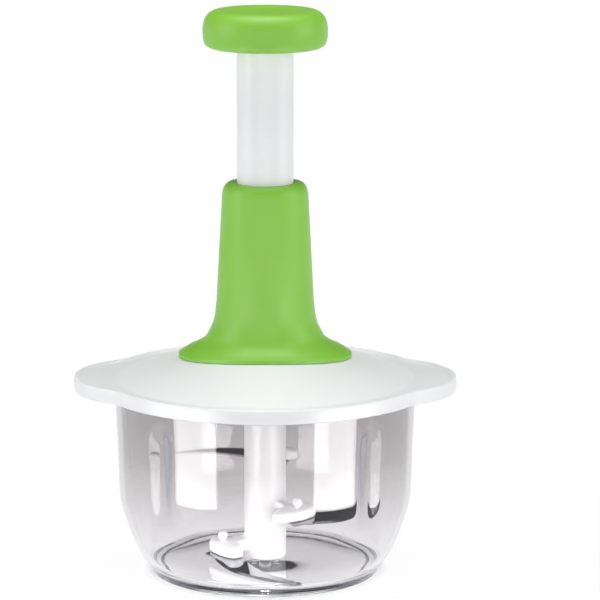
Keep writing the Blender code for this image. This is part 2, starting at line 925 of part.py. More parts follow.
def make_spiral_nut():
    rings = [
        crown_ring(crown_inner, nut_bottom, crown_backlash),
        crown_ring(nut_radius, nut_bottom, crown_backlash),
        flat_crown_ring(nut_radius, nut_top, crown_backlash),
        [Vector((0, 0, nut_top))],
    ]
    roof = nut_bottom + crown_height + crown_base
    rings = [[Vector((0, 0, roof))], flat_crown_ring(crown_inner, roof, crown_backlash), *rings]
    nut = skin("spiral_nut", rings, False)
    section = bar_section(rod_half_width + rod_play, rod_half_thickness + rod_play, rod_chamfer)
    bottom, top = roof - overrun, nut_top + overrun
    core = [[Vector((0, 0, bottom))], *twisted_rings(section, bottom, top), [Vector((0, 0, top))]]
    combine(nut, skin("nut_slot", core, False), "DIFFERENCE")
    finish(nut, natural_plastic, drive_body)


def hexagon(across_flats):
    """Outline of a hexagon with a corner on the X axis."""
    corner = across_flats / (2 * math.cos(math.pi / 6))
    return [on_circle(corner, math.pi * step / 3) for step in range(6)]


def hexagon_crown_ring(across_flats, level):
    """Ring on a hexagon with the same angles as the saw teeth."""
    points = []
    for point in flat_crown_ring(across_flats, level, 0):
        angle = math.atan2(point.y, point.x) % (math.pi / 3)
        reach = across_flats / (2 * math.cos(angle - math.pi / 6))
        x, y = on_circle(reach, math.atan2(point.y, point.x))
        points.append(Vector((x, y, level)))
    return points


def make_drive_hub():
    groove_top = well_floor_bottom - running_gap / 2
    groove_bottom = groove_top - clip_thickness - running_gap
    groove_radius = hub_neck_radius - clip_depth
    crown_floor = crown_low - crown_height / 2
    neck_profile = [
        (hub_neck_radius, hub_neck_bottom),
        (hub_neck_radius, groove_bottom),
        (groove_radius, groove_bottom),
        (groove_radius, groove_top),
        (hub_neck_radius, groove_top),
        (hub_neck_radius, hub_flange_bottom),
        (nut_radius, hub_flange_bottom),
    ]
    rings = [
        flat_crown_ring(hub_bore, spigot_bottom, 0),
        hexagon_crown_ring(spigot_across_flats, spigot_bottom),
        hexagon_crown_ring(spigot_across_flats, hub_neck_bottom),
        *[flat_crown_ring(radius, height, 0) for radius, height in neck_profile],
        crown_ring(nut_radius, crown_low, 0),
        crown_ring(crown_inner, crown_low, 0),
        flat_crown_ring(crown_inner, crown_floor, 0),
        flat_crown_ring(hub_bore, crown_floor, 0),
    ]
    finish(skin("drive_hub", rings, True), white_plastic, drive_body)


def make_retaining_clip():
    """Open ring in the hub's groove, under the floor of the housing."""
    top = well_floor_bottom - running_gap
    bottom = top - clip_thickness
    inner = hub_neck_radius - clip_depth + clearance
    outer = inner + clip_width
    rings = []
    for step in range(clip_steps + 1):
        angle = clip_opening / 2 + (2 * math.pi - clip_opening) * step / clip_steps
        corners = ((inner, bottom), (outer, bottom), (outer, top), (inner, top))
        ring = [Vector((*on_circle(radius, angle), height)) for radius, height in corners]
        rings.append(ring)
    first, last = sum(rings[0], Vector()) / 4, sum(rings[-1], Vector()) / 4
    clip = skin("retaining_clip", [[first], *rings, [last]], False)
    finish(clip, plain_steel, drive_body)


# Plunger
def make_plunger_tube():
    inner = tube_radius - tube_wall
    profile = [
        (inner, tube_bottom),
        (tube_flange_radius, tube_bottom),
        (tube_flange_radius, tube_bottom + tube_flange),
        (tube_radius, tube_bottom + tube_flange),
        (tube_radius, collar_bottom),
        (tube_collar_radius, collar_bottom),
        (tube_collar_radius, tube_top),
        (inner, tube_top),
    ]
    finish(turned("plunger_tube", profile, column_sides), tube_plastic, plunger_body)


def make_knob():
    outside = [(share * knob_radius, knob_bottom + rise * knob_height) for share, rise in knob_shares]
    lip_inner = outside[0][0] - clearance
    lip_top = knob_bottom + knob_lip_height
    cavity_radius = knob_radius - knob_wall
    cavity_low = lip_top + knob_wall / 2
    clamp_inner = tube_collar_radius - knob_clamp_wall
    rod_hole = rod_shank_radius + clearance
    profile = [
        *outside,
        (0, knob_bottom + knob_height * knob_dish_share),
        (0, rod_top + clearance),
        (rod_hole, rod_top + clearance),
        (rod_hole, knob_boss_bottom),
        (knob_boss_radius, knob_boss_bottom),
        (knob_boss_radius, knob_ceiling),
        (clamp_inner, knob_ceiling),
        (clamp_inner, clamp_ring_bottom),
        (tube_collar_radius, clamp_ring_bottom),
        (tube_collar_radius, knob_ceiling),
        (cavity_radius - knob_wall, knob_ceiling),
        (cavity_radius, knob_ceiling - knob_wall),
        (cavity_radius, cavity_low),
        (lip_inner, lip_top),
        (lip_inner, knob_bottom),
    ]
    rings = [circle(radius, height, knob_sides) for radius, height in profile]
    knob = skin("knob", rings, True)
    pillar_bottom = knob_base_top + clearance
    pillar_top = knob_ceiling + knob_wall / 2
    for number, angle in enumerate(knob_screw_angles):
        middle = on_circle(knob_screw_circle, angle)
        pillar = rod_between(
            "knob_pillar_guide_" + str(number + 1), knob_pillar_radius, pillar_bottom, pillar_top,
            screw_sides, middle)
        combine(knob, pillar, "UNION")
    bore_top = knob_base_bottom + screw_head_height + knob_screw_length + column_bore_tip
    for number, angle in enumerate(knob_screw_angles):
        middle = on_circle(knob_screw_circle, angle)
        bore = drill("knob_bore_" + str(number + 1), pillar_bottom - overrun, bore_top, middle)
        combine(knob, bore, "DIFFERENCE")
    combine(knob, rod_pin_tool("knob_pin_hole", rod_pin_radius + clearance, overrun), "DIFFERENCE")
    finish(knob, green_plastic, plunger_body)


def make_knob_base():
    outer = knob_shares[0][0] * knob_radius - 2 * clearance
    inner = tube_radius + clearance
    profile = [
        (inner, knob_base_bottom),
        (outer, knob_base_bottom),
        (outer, knob_base_top),
        (inner, knob_base_top),
    ]
    base = turned("knob_base", profile, shaft_sides)
    head_room = knob_base_bottom + screw_head_height + clearance
    for number, angle in enumerate(knob_screw_angles):
        middle = on_circle(knob_screw_circle, angle)
        hole = drill(
            "base_hole_" + str(number + 1), knob_base_bottom - overrun, knob_base_top + overrun, middle)
        combine(base, hole, "DIFFERENCE")
        sink = rod_between(
            "base_sink_" + str(number + 1), screw_head_radius + clearance,
            knob_base_bottom - overrun, head_room, screw_sides, middle)
        combine(base, sink, "DIFFERENCE")
    finish(base, green_plastic, plunger_body)


def make_return_spring():
    """Round wire in one unbroken helix, closer wound at its ends."""
    low, high = spring_bottom + wire_radius, spring_top - wire_radius
    turns = spring_turns + spring_end_turns
    open_pitch = (high - low - spring_end_turns * spring_end_pitch) / spring_turns
    end_turns = spring_end_turns / 2
    count = turns * spring_points
    wires = []
    for step in range(count + 1):
        turn = step / spring_points
        below = min(turn, end_turns)
        above = max(turn - (turns - end_turns), 0)
        between = turn - below - above
        height = low + (below + above) * spring_end_pitch + between * open_pitch
        wires.append((2 * math.pi * turn, height))
    rings = []
    for angle, height in wires:
        ring = []
        for side in range(spring_wire_sides):
            around = 2 * math.pi * side / spring_wire_sides
            x, y = on_circle(spring_radius + wire_radius * math.cos(around), angle)
            ring.append(Vector((x, y, height + wire_radius * math.sin(around))))
        rings.append(ring)
    ends = [[sum(ring, Vector()) / len(ring)] for ring in (rings[0], rings[-1])]
    spring = skin("return_spring", [ends[0], *rings, ends[1]], False)
    print("spring: least gap between turns %.4f m" % (spring_end_pitch - 2 * wire_radius))
    finish(spring, plain_steel, lid_body)


# Blade shaft with its arms
def blade_frame(number):
    """Frame of one blade: its origin on the peg, X to the tip, Z out of the flat of the blade."""
    turn = first_arm + number * blade_spacing
    return (
        Matrix.Translation((0, 0, blade_heights[number]))
        @ Matrix.Rotation(turn, 4, "Z")
        @ Matrix.Translation((arm_radius, 0, 0))
        @ Matrix.Rotation(blade_sweeps[number], 4, "Z")
        @ Matrix.Rotation(blade_droops[number], 4, "Y")
        @ Matrix.Rotation(blade_banks[number], 4, "X")
    )


def clamp_outline(scale):
    """Boat-shaped outline of the clamp over the blade's root."""
    middle = (clamp_front - clamp_back) / 2
    half_length = (clamp_front + clamp_back) / 2
    points = []
    for step in range(clamp_steps):
        angle = 2 * math.pi * step / clamp_steps
        cosine, sine = math.cos(angle), math.sin(angle)
        x = math.copysign(abs(cosine) ** (2 / clamp_square), cosine)
        y = math.copysign(abs(sine) ** (2 / clamp_square), sine)
        points.append((middle + half_length * scale * x, clamp_half_width * scale * y))
    return points


def make_clamp(number):
    """Clamp of one arm, as a guide that joins the shaft."""
    bottom = blade_thickness / 2 + clearance
    middle = (clamp_front - clamp_back) / 2
    rings = [[Vector((middle, 0, bottom))]]
    for scale, rise in clamp_round_shares:
        rings.append([Vector((x, y, bottom + rise * clamp_height)) for x, y in clamp_outline(scale)])
    rings.append([Vector((middle, 0, bottom + clamp_height))])
    clamp = skin("clamp_guide_" + blade_names[number], rings, False)
    clamp.data.transform(blade_frame(number))
    return clamp


def make_neck(number):
    """Bar from the shaft's wall to the clamp."""
    frame = blade_frame(number)
    start = frame.inverted() @ Vector((0, 0, blade_heights[number]))
    start.z = 0
    reach = start.length
    bottom = blade_thickness / 2 + clearance * 2
    inner = reach - shaft_radius + neck_bite
    outline = [
        (0, -neck_half_width),
        (inner, -neck_half_width),
        (inner, neck_half_width),
        (0, neck_half_width),
    ]
    neck = prism("neck_guide_" + blade_names[number], outline, bottom, bottom + neck_height)
    neck.data.transform(frame @ Matrix.Rotation(math.atan2(start.y, start.x), 4, "Z"))
    return neck


def make_blade_shaft():
    socket_floor = spigot_bottom - clearance
    profile = [
        (shaft_bore, shaft_bottom),
        (shaft_radius - shaft_rounding, shaft_bottom),
        (shaft_radius - shaft_rounding / 4, shaft_bottom + shaft_rounding / 2),
        (shaft_radius, shaft_bottom + shaft_rounding),
        (shaft_radius, shaft_top),
        (shaft_bore, shaft_top),
    ]
    shaft = turned("blade_shaft", profile, shaft_sides)
    for number in range(len(blade_names)):
        clamp = make_clamp(number)
        combine(clamp, make_neck(number), "UNION")
        combine(shaft, clamp, "UNION")
    for number, name in enumerate(blade_names):
        bore = rod_between("peg_bore_" + name, peg_radius + clearance, 0, clamp_height + overrun, screw_sides)
        bore.data.transform(blade_frame(number))
        combine(shaft, bore, "DIFFERENCE")
    socket_outline = hexagon(spigot_across_flats + 2 * clearance)
    socket = prism("hex_socket", socket_outline, socket_floor, shaft_top + overrun)
    combine(shaft, socket, "DIFFERENCE")
    finish(shaft, white_plastic, blade_body)


def make_shaft_bush():
    """Bush in the foot of the shaft, which turns on the pivot pin and rests on its tip."""
    outer = shaft_bore - clearance
    bottom = shaft_bottom + bush_play
    thrust = pin_top + clearance
    profile = [
        (pin_radius + bush_play, bottom),
        (outer, bottom),
        (outer, thrust + bush_top_wall),
        (0, thrust + bush_top_wall),
        (0, thrust),
        (pin_radius + bush_play, thrust),
    ]
    rings = [circle(radius, height, small_sides) for radius, height in profile]
    finish(skin("shaft_bush", rings, True), natural_plastic, blade_body)


def blade_outline(length):
    """Flat outline of a blade: a square root under the clamp, a bowed belly and a point."""
    outer, inner = [], []
    for step in range(blade_steps + 1):
        share = step / blade_steps
        bow = -blade_bow * 4 * share * (1 - share)
        taper = max(share - blade_belly_share, 0) / (1 - blade_belly_share)
        half = (blade_width / 2 - blade_tip) * (1 - taper ** blade_taper_power) + blade_tip
        outer.append((share * length, bow - half))
        inner.append((share * length, bow + half * (1 - share) + blade_tip * share))
    root = [(-blade_tang, blade_width / 2), (-blade_tang, -blade_width / 2)]
    return root + outer + list(reversed(inner))


def make_blades():
    for number, name in enumerate(blade_names):
        half = blade_thickness / 2
        length = blade_length_shares[number] * bowl_radius
        blade = prism("blade_" + name, blade_outline(length), -half, half)
        hole = rod_between("blade_hole_" + name, peg_radius + clearance, -overrun, overrun, screw_sides)
        blade.data.transform(blade_frame(number))
        hole.data.transform(blade_frame(number))
        combine(blade, hole, "DIFFERENCE")
        finish(blade, polished_steel, blade_body)


def make_pegs():
    """Ball-headed pegs that rivet each blade under its clamp."""
    foot_top = -blade_thickness / 2 - clearance
    seat = blade_thickness / 2 + clearance + clamp_height + clearance
    neck_angle = math.asin(peg_radius / peg_ball)
    centre = seat + peg_ball * math.cos(neck_angle)
    profile = [
        (0, foot_top - peg_foot),
        (peg_foot_radius, foot_top - peg_foot),
        (peg_foot_radius, foot_top),
        (peg_radius, foot_top),
    ]
    for step in range(peg_ball_steps):
        angle = neck_angle + (math.pi - neck_angle) * step / peg_ball_steps
        profile.append((peg_ball * math.sin(angle), centre - peg_ball * math.cos(angle)))
    profile.append((0, centre + peg_ball))
    for number, name in enumerate(blade_names):
        peg = turned("blade_peg_" + name, profile, screw_sides, closed=False)
        peg.data.transform(blade_frame(number))
        finish(peg, white_plastic, blade_body)


make_bowl()
make_pivot_pin()
make_lid()
make_gasket()
make_column()
make_guide_bush()
make_cover()
make_screws()
make_thrust_washer()
make_spiral_rod()
make_rod_pin()
make_spiral_nut()
make_drive_hub()
make_retaining_clip()
make_plunger_tube()
make_knob()
make_knob_base()
make_return_spring()
make_blade_shaft()
make_shaft_bush()
make_blades()
make_pegs()
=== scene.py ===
# %% [markdown]
# # A press-down food chopper
#
# A clear bowl stands on the table. Its white lid carries a green column, and a milky tube
# with a green knob slides in it. Pressing the knob turns a white shaft with three curved
# steel blades. The working model comes packed, with the right sizes and joints. This lesson
# gives it the look of the real one: smooth moulded shapes, and materials made with nodes.
#
# The first cell loads the imported model.

# %% Load the imported model
import json
import math

import bpy
from mathutils import Matrix, Vector


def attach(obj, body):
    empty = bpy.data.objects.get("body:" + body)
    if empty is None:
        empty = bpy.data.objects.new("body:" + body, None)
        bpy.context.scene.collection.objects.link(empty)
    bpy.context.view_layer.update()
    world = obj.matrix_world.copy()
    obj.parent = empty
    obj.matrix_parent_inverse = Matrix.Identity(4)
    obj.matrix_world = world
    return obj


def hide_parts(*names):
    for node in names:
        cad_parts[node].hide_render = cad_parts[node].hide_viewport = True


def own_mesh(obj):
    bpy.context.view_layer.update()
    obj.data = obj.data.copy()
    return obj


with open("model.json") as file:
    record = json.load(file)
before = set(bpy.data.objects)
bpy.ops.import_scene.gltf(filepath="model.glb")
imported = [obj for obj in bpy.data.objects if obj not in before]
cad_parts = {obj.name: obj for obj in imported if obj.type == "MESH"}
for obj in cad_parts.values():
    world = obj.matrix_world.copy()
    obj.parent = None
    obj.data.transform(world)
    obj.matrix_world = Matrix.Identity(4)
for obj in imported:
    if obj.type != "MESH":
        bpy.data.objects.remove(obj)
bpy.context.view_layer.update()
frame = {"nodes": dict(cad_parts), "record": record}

# %% [markdown]
# ## Camera
#
# The photograph looks slightly down on the chopper from in front, from far enough away that
# its upright edges stay parallel. A long lens does that. The camera could be aimed at the
# chopper, but the chopper stands left of the middle in the photograph. The lens is shifted
# sideways instead, so that the uprights don't lean.

# %% Place the camera
picture_size = 600
axis_column = 265.2
camera_distance = 1.400
camera_height = 0.385
camera_pitch = math.radians(10.88)
camera_lens = 203.7

bpy.ops.object.camera_add(
    location=(0, -camera_distance, camera_height),
    rotation=(math.pi / 2 - camera_pitch, 0, 0),
)
camera = bpy.context.object
camera.data.lens = camera_lens
camera.data.sensor_width = 36
camera.data.shift_x = 0.5 - axis_column / picture_size
bpy.context.scene.camera = camera
bpy.context.scene.view_settings.view_transform = "Standard"
print("camera shift: %.3f" % camera.data.shift_x)

# %% [markdown]
# ## Floor
#
# A product photographer stands the object on a sheet of white paper that runs out of sight.
# One very large plane does the same here. Its paper is a dull white, and towards the camera,
# mirrors and clear plastic it also glows, so that it is white without more light on the
# chopper. Near the chopper it glows less, and there the dull share keeps the shadow. Under
# the foot ring, where the bowl touches the paper, it hardly glows: that dark ring is a
# painted contact shadow, seen through the clear foot.

# %% Helpers for colours and nodes
def linear(code):
    """Linear colour of an sRGB hex code."""
    parts = [int(code[start:start + 2], 16) / 255 for start in (1, 3, 5)]
    parts = [part / 12.92 if part <= 0.04045 else ((part + 0.055) / 1.055) ** 2.4 for part in parts]
    return (*parts, 1.0)


def add_node(tree, kind, links=(), **settings):
    """Adds a node. Settings fill its sockets or its options; links join outputs to its sockets."""
    node = tree.nodes.new(kind)
    for name, value in settings.items():
        if hasattr(node, name):
            setattr(node, name, value)
        else:
            node.inputs[name.replace("_", " ")].default_value = value
    for source, socket in links:
        tree.links.new(source, node.inputs[socket])
    return node


def new_material(name):
    """Empty node material and its output."""
    material = bpy.data.materials.new(name)
    material.use_nodes = True
    material.node_tree.nodes.clear()
    return material, material.node_tree, add_node(material.node_tree, "ShaderNodeOutputMaterial")


print("white is", linear("#FFFFFF")[:3])

# %% Lay the floor
floor_size = 14.0
plain_reach = 0.200
# Distances from the middle, and how much the paper glows there; the dip under the foot ring is a
# painted contact shadow
paper_glow_and_contact_shadow = ((0.0, 0.95), (0.041, 0.95), (0.0460, 0.30), (0.0485, 0.30), (0.0515, 0.96),
              (plain_reach, 1.0))

bpy.ops.object.select_all(action="DESELECT")
bpy.ops.mesh.primitive_plane_add(size=floor_size)
floor = bpy.context.object
floor.name = "floor"
paper, tree, output = new_material("white_paper")
path = add_node(tree, "ShaderNodeLightPath")
seen = add_node(tree, "ShaderNodeMath", operation="MAXIMUM",
                links=[(path.outputs["Is Camera Ray"], 0), (path.outputs["Is Glossy Ray"], 1)])
seen = add_node(tree, "ShaderNodeMath", operation="MAXIMUM",
                links=[(seen.outputs[0], 0), (path.outputs["Is Transmission Ray"], 1)])
where = add_node(tree, "ShaderNodeTexCoord")
reach = add_node(tree, "ShaderNodeVectorMath", operation="LENGTH",
                 links=[(where.outputs["Object"], 0)])
scaled = add_node(tree, "ShaderNodeMath", operation="DIVIDE", links=[(reach.outputs["Value"], 0)])
scaled.inputs[1].default_value = plain_reach
fade = add_node(tree, "ShaderNodeValToRGB", links=[(scaled.outputs[0], 0)])
stops = fade.color_ramp.elements
while len(stops) < len(paper_glow_and_contact_shadow):
    stops.new(0.5)
for stop, (distance, glow) in zip(stops, paper_glow_and_contact_shadow):
    stop.position = distance / plain_reach
    stop.color = (glow, glow, glow, 1)
share = add_node(tree, "ShaderNodeMath", operation="MULTIPLY",
                 links=[(seen.outputs[0], 0), (fade.outputs["Color"], 1)])
dull = add_node(tree, "ShaderNodeBsdfDiffuse", Color=linear("#F7F7F8"))
glow = add_node(tree, "ShaderNodeEmission", Color=linear("#FFFFFF"), Strength=1.0)
mixed = add_node(tree, "ShaderNodeMixShader",
                 links=[(share.outputs[0], 0), (dull.outputs[0], 1), (glow.outputs[0], 2)])
tree.links.new(mixed.outputs[0], output.inputs["Surface"])
floor.data.materials.append(paper)
print("floor: %.0f m square" % floor_size)

# %% [markdown]
# ## Light
#
# The photograph shows two tall windows of light in the bowl, left and right of the shaft.
# They are small softboxes that stand on the table close to the chopper, and their places
# follow from the reflections: on a round bowl, a light shows half as far round as it
# stands. They are only there to be reflected, so they leave dull surfaces alone. The dull
# surfaces get their even light from four large ones: above, in front, and far out on both
# sides. The room is pale near the floor and dark higher up, and that is what turns the
# polished blades black.

# %% Hang the softboxes
def softbox(name, azimuth, distance, height, width, tall, power, aim):
    """Area lamp aimed at a height of the chopper; azimuth 0 is in front, positive to the right."""
    place = Vector((distance * math.sin(azimuth), -distance * math.cos(azimuth), height))
    bpy.ops.object.light_add(type="AREA", location=place)
    lamp = bpy.context.object
    lamp.name = name
    lamp.rotation_euler = (Vector((0, 0, aim)) - place).to_track_quat("-Z", "Y").to_euler()
    lamp.data.shape = "RECTANGLE"
    lamp.data.size = width
    lamp.data.size_y = tall
    lamp.data.energy = power
    lamp.visible_camera = False
    return lamp


window_azimuth = math.radians(47)
side_azimuth = math.radians(75)

for name, azimuth in (("softbox_left", -window_azimuth), ("softbox_right", window_azimuth)):
    strip = softbox(name, azimuth, distance=0.175, height=0.038,
                    width=0.095, tall=0.076, power=0.23, aim=0.038)
    strip.visible_diffuse = False
softbox("softbox_above", 0, distance=0.02, height=1.30,
        width=1.00, tall=0.80, power=13.4, aim=0.09)
softbox("softbox_front", 0, distance=1.10, height=0.25,
        width=1.20, tall=0.40, power=3.0, aim=0.05)
for name, azimuth in (("softbox_far_left", -side_azimuth), ("softbox_far_right", side_azimuth)):
    softbox(name, azimuth, distance=0.90, height=0.45,
            width=0.50, tall=0.70, power=3.1, aim=0.12)

# %% Colour the room
pale_up_to = 0.06
dark_from = 0.20

world = bpy.data.worlds.new("studio")
bpy.context.scene.world = world
world.use_nodes = True
tree = world.node_tree
tree.nodes.clear()
place = add_node(tree, "ShaderNodeTexCoord")
parts = add_node(tree, "ShaderNodeSeparateXYZ", links=[(place.outputs["Generated"], 0)])
ramp = add_node(tree, "ShaderNodeValToRGB", links=[(parts.outputs["Z"], 0)])
ramp.color_ramp.elements[0].position = pale_up_to
ramp.color_ramp.elements[0].color = linear("#FFFFFF")
ramp.color_ramp.elements[1].position = dark_from
ramp.color_ramp.elements[1].color = linear("#2C2C30")
room = add_node(tree, "ShaderNodeBackground", Strength=1.0,
                links=[(ramp.outputs["Color"], "Color")])
output = add_node(tree, "ShaderNodeOutputWorld", links=[(room.outputs[0], "Surface")])
print("world:", world.name)

# %% [markdown]
# ## Materials: moulded plastics
#
# Nearly everything here is injection moulded. The steel mould is spark-eroded, and the
# plastic copies its fine grain, so a gloss is never perfectly even. One cell makes that
# grain: a fine noise as bump, and a broader one that varies the roughness. The real grain
# is about 0.05 mm; it is drawn at 0.3 mm, as it wouldn't show otherwise.

# %% A moulded plastic
plastic_index = 1.49
grain_size = 0.0003
cloud_size = 0.018
gloss_below = 0.05
gloss_above = 0.07


def moulded(name, code, shade_code, roughness, depth=0.000006):
    """Opaque moulded plastic: two close colours in soft clouds, uneven gloss and a fine grain."""
    material, tree, output = new_material(name)
    where = add_node(tree, "ShaderNodeTexCoord")
    clouds = add_node(tree, "ShaderNodeTexNoise", Scale=1 / cloud_size, Detail=3.0, Roughness=0.5,
                      links=[(where.outputs["Object"], "Vector")])
    colour = add_node(tree, "ShaderNodeMix", data_type="RGBA", links=[(clouds.outputs["Fac"], 0)])
    colour.inputs[6].default_value = linear(code)
    colour.inputs[7].default_value = linear(shade_code)
    gloss = add_node(tree, "ShaderNodeMapRange", links=[(clouds.outputs["Fac"], 0)])
    gloss.inputs["To Min"].default_value = roughness - gloss_below
    gloss.inputs["To Max"].default_value = roughness + gloss_above
    fine = add_node(tree, "ShaderNodeTexNoise", Scale=1 / grain_size, Detail=2.0,
                    links=[(where.outputs["Object"], "Vector")])
    bump = add_node(tree, "ShaderNodeBump", Strength=0.6, Distance=depth,
                    links=[(fine.outputs["Fac"], "Height")])
    shader = add_node(tree, "ShaderNodeBsdfPrincipled",
                      links=[(colour.outputs[2], "Base Color"), (gloss.outputs[0], "Roughness"),
                             (bump.outputs[0], "Normal")])
    shader.inputs["IOR"].default_value = plastic_index
    tree.links.new(shader.outputs[0], output.inputs["Surface"])
    return material


green_abs = moulded("green_abs", "#86C341", "#81BF3D", 0.42)
white_polypropylene = moulded("white_polypropylene", "#EDEEEE", "#E9EAEB", 0.38)
# A lighter copy of the white polypropylene for the shaft and pegs inside the bowl: painted light
# that makes up for the light the clear bowl takes away.
white_polypropylene_painted_lighter = moulded("white_polypropylene_painted_lighter", "#FEFEFE", "#FCFCFC", 0.34)
natural_acetal = moulded("natural_acetal", "#E9E6DC", "#E2DED2", 0.42)
print("plastics:", green_abs.name, white_polypropylene.name, natural_acetal.name)

# %% [markdown]
# ## Materials: silicone seal and milky tube
#
# The seal is silicone rubber, dull and even. The tube is polypropylene without pigment: it
# is milky, and the rod and spring inside only show as a slightly darker middle. Rough glass
# would be too clear for that, so only a part of the light passes through.

# %% Silicone and milky plastic
white_silicone = moulded("white_silicone", "#E6E6E2", "#DFDFDA", 0.62, depth=0.00001)

light_passed = 0.12

milky_tube = moulded("milky_tube", "#FAFBFC", "#F5F7F8", 0.30)
for node in milky_tube.node_tree.nodes:
    if node.type == "BSDF_PRINCIPLED":
        node.inputs["Transmission Weight"].default_value = light_passed
print("milky tube passes %.0f%% of the light" % (100 * light_passed))

# %% [markdown]
# ## Materials: clear styrene
#
# The bowl is clear styrene-acrylonitrile, polished in the mould. Its index is near 1.57.
# That gives the front wall a veil of reflected paper that the photograph doesn't show over
# the blades, so the index is lowered to 1.38 here. The photograph shows the upper wall
# greyer than the floor, most likely from the studio round it. A grey painted into the
# plastic's colour, growing towards the rim, stands for that studio shade. Lamps can't
# shine through a bending surface in a renderer without a lot of noise, so rays on their way
# to a lamp pass it straight. A ray that has been thrown about inside a rib several times
# passes straight too, where it would otherwise be given up and leave black.

# %% Clear plastic
clear_up_to = 0.006
painted_shade_from = 0.055
clear_index = 1.38
bounces_followed = 2

clear_styrene, tree, output = new_material("clear_styrene")
where = add_node(tree, "ShaderNodeTexCoord")
parts = add_node(tree, "ShaderNodeSeparateXYZ", links=[(where.outputs["Object"], 0)])
level = add_node(tree, "ShaderNodeMapRange", links=[(parts.outputs["Z"], "Value")])
level.inputs["From Min"].default_value = clear_up_to
level.inputs["From Max"].default_value = painted_shade_from
# Painted studio shade: the plastic's colour turns greyer higher up the wall, towards the rim.
painted_rim_shade = add_node(tree, "ShaderNodeMix", data_type="RGBA", links=[(level.outputs[0], 0)])
painted_rim_shade.inputs[6].default_value = linear("#FEFDFF")
painted_rim_shade.inputs[7].default_value = linear("#CBC8C9")
shell = add_node(tree, "ShaderNodeBsdfPrincipled", Roughness=0.02, IOR=clear_index,
                 links=[(painted_rim_shade.outputs[2], "Base Color")])
shell.inputs["Transmission Weight"].default_value = 1.0
flow = add_node(tree, "ShaderNodeTexNoise", Scale=45.0, Detail=1.0,
                links=[(where.outputs["Object"], "Vector")])
wave = add_node(tree, "ShaderNodeBump", Strength=0.25, Distance=0.00006,
                links=[(flow.outputs["Fac"], "Height")])
tree.links.new(wave.outputs[0], shell.inputs["Normal"])
straight = add_node(tree, "ShaderNodeBsdfTransparent", Color=linear("#FFFFFF"))
rays = add_node(tree, "ShaderNodeLightPath")
late = add_node(tree, "ShaderNodeMath", operation="GREATER_THAN",
                links=[(rays.outputs["Glossy Depth"], 0)])
late.inputs[1].default_value = bounces_followed + 0.5
last = add_node(tree, "ShaderNodeBsdfTransparent", Color=linear("#BFC2CA"))
plastic = add_node(tree, "ShaderNodeMixShader",
                   links=[(late.outputs[0], 0), (shell.outputs[0], 1), (last.outputs[0], 2)])
mixed = add_node(tree, "ShaderNodeMixShader",
                 links=[(rays.outputs["Is Shadow Ray"], 0), (plastic.outputs[0], 1),
                        (straight.outputs[0], 2)])
tree.links.new(mixed.outputs[0], output.inputs["Surface"])
print("clear plastic:", clear_styrene.name)

# %% [markdown]
# ## Materials: steels
#
# The blades are stamped from stainless strip, polished, and ground along their outer edge.
# The polish leaves hairlines along the blade, which are a stretched noise here. Screws,
# washer, clip, rod and spring are zinc-plated, duller and a little blotchy.

# %% Steel finishes
hairline_scale = 900.0
smoothest_share = 0.7
roughest_share = 1.4


def steel(name, code, shade_code, roughness, stretch, depth):
    """Metal with hairlines or blotches from one noise, stretched by a share along each axis."""
    material, tree, output = new_material(name)
    where = add_node(tree, "ShaderNodeTexCoord")
    aim = add_node(tree, "ShaderNodeMapping", links=[(where.outputs["Object"], "Vector")])
    aim.inputs["Scale"].default_value = stretch
    lines = add_node(tree, "ShaderNodeTexNoise", Scale=hairline_scale, Detail=3.0,
                     links=[(aim.outputs[0], "Vector")])
    colour = add_node(tree, "ShaderNodeMix", data_type="RGBA", links=[(lines.outputs["Fac"], 0)])
    colour.inputs[6].default_value = linear(code)
    colour.inputs[7].default_value = linear(shade_code)
    gloss = add_node(tree, "ShaderNodeMapRange", links=[(lines.outputs["Fac"], 0)])
    gloss.inputs["To Min"].default_value = roughness * smoothest_share
    gloss.inputs["To Max"].default_value = roughness * roughest_share
    bump = add_node(tree, "ShaderNodeBump", Strength=0.3, Distance=depth,
                    links=[(lines.outputs["Fac"], "Height")])
    shader = add_node(tree, "ShaderNodeBsdfPrincipled", Metallic=1.0,
                      links=[(colour.outputs[2], "Base Color"), (gloss.outputs[0], "Roughness"),
                             (bump.outputs[0], "Normal")])
    tree.links.new(shader.outputs[0], output.inputs["Surface"])
    return material


blade_steel = steel("blade_steel", "#C0C1C3", "#B2B3B6", 0.06, (1.0, 1.0, 0.2), 0.000002)
plain_steel = steel("plain_steel", "#B4B5B6", "#9C9EA0", 0.30, (1.0, 1.0, 1.0), 0.000004)
print("steels:", blade_steel.name, plain_steel.name)

# %% [markdown]
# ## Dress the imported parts
#
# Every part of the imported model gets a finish, in the slots of its own object. The inner
# parts of the drive are right as they come, so for them that is all. The outer ones give
# way to smoother shapes further on.

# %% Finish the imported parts
finishes = {
    "white_polypropylene": white_polypropylene,
    "green_abs": green_abs,
    "natural_acetal": natural_acetal,
    "milky_tube": milky_tube,
    "white_silicone": white_silicone,
    "clear_styrene": clear_styrene,
    "blade_steel": blade_steel,
    "plain_steel": plain_steel,
}
for part in frame["record"]["subparts"]:
    for place in frame["nodes"][part["node"]].material_slots:
        place.material = finishes[part["material_slot"]]

# %% [markdown]
# ## Tools for turned pieces
#
# Bowl, lid, column, tube and knob are round, so each could be turned on a lathe. In Blender
# that is a line of points, drawn by extruding one vertex again and again, and then spun
# once round the Z axis. Two helpers shape the line first: one rounds corners, as no moulded
# edge is sharp, and one runs a smooth curve through a few measured points.

# %% Shape a line
corner_share = 0.45


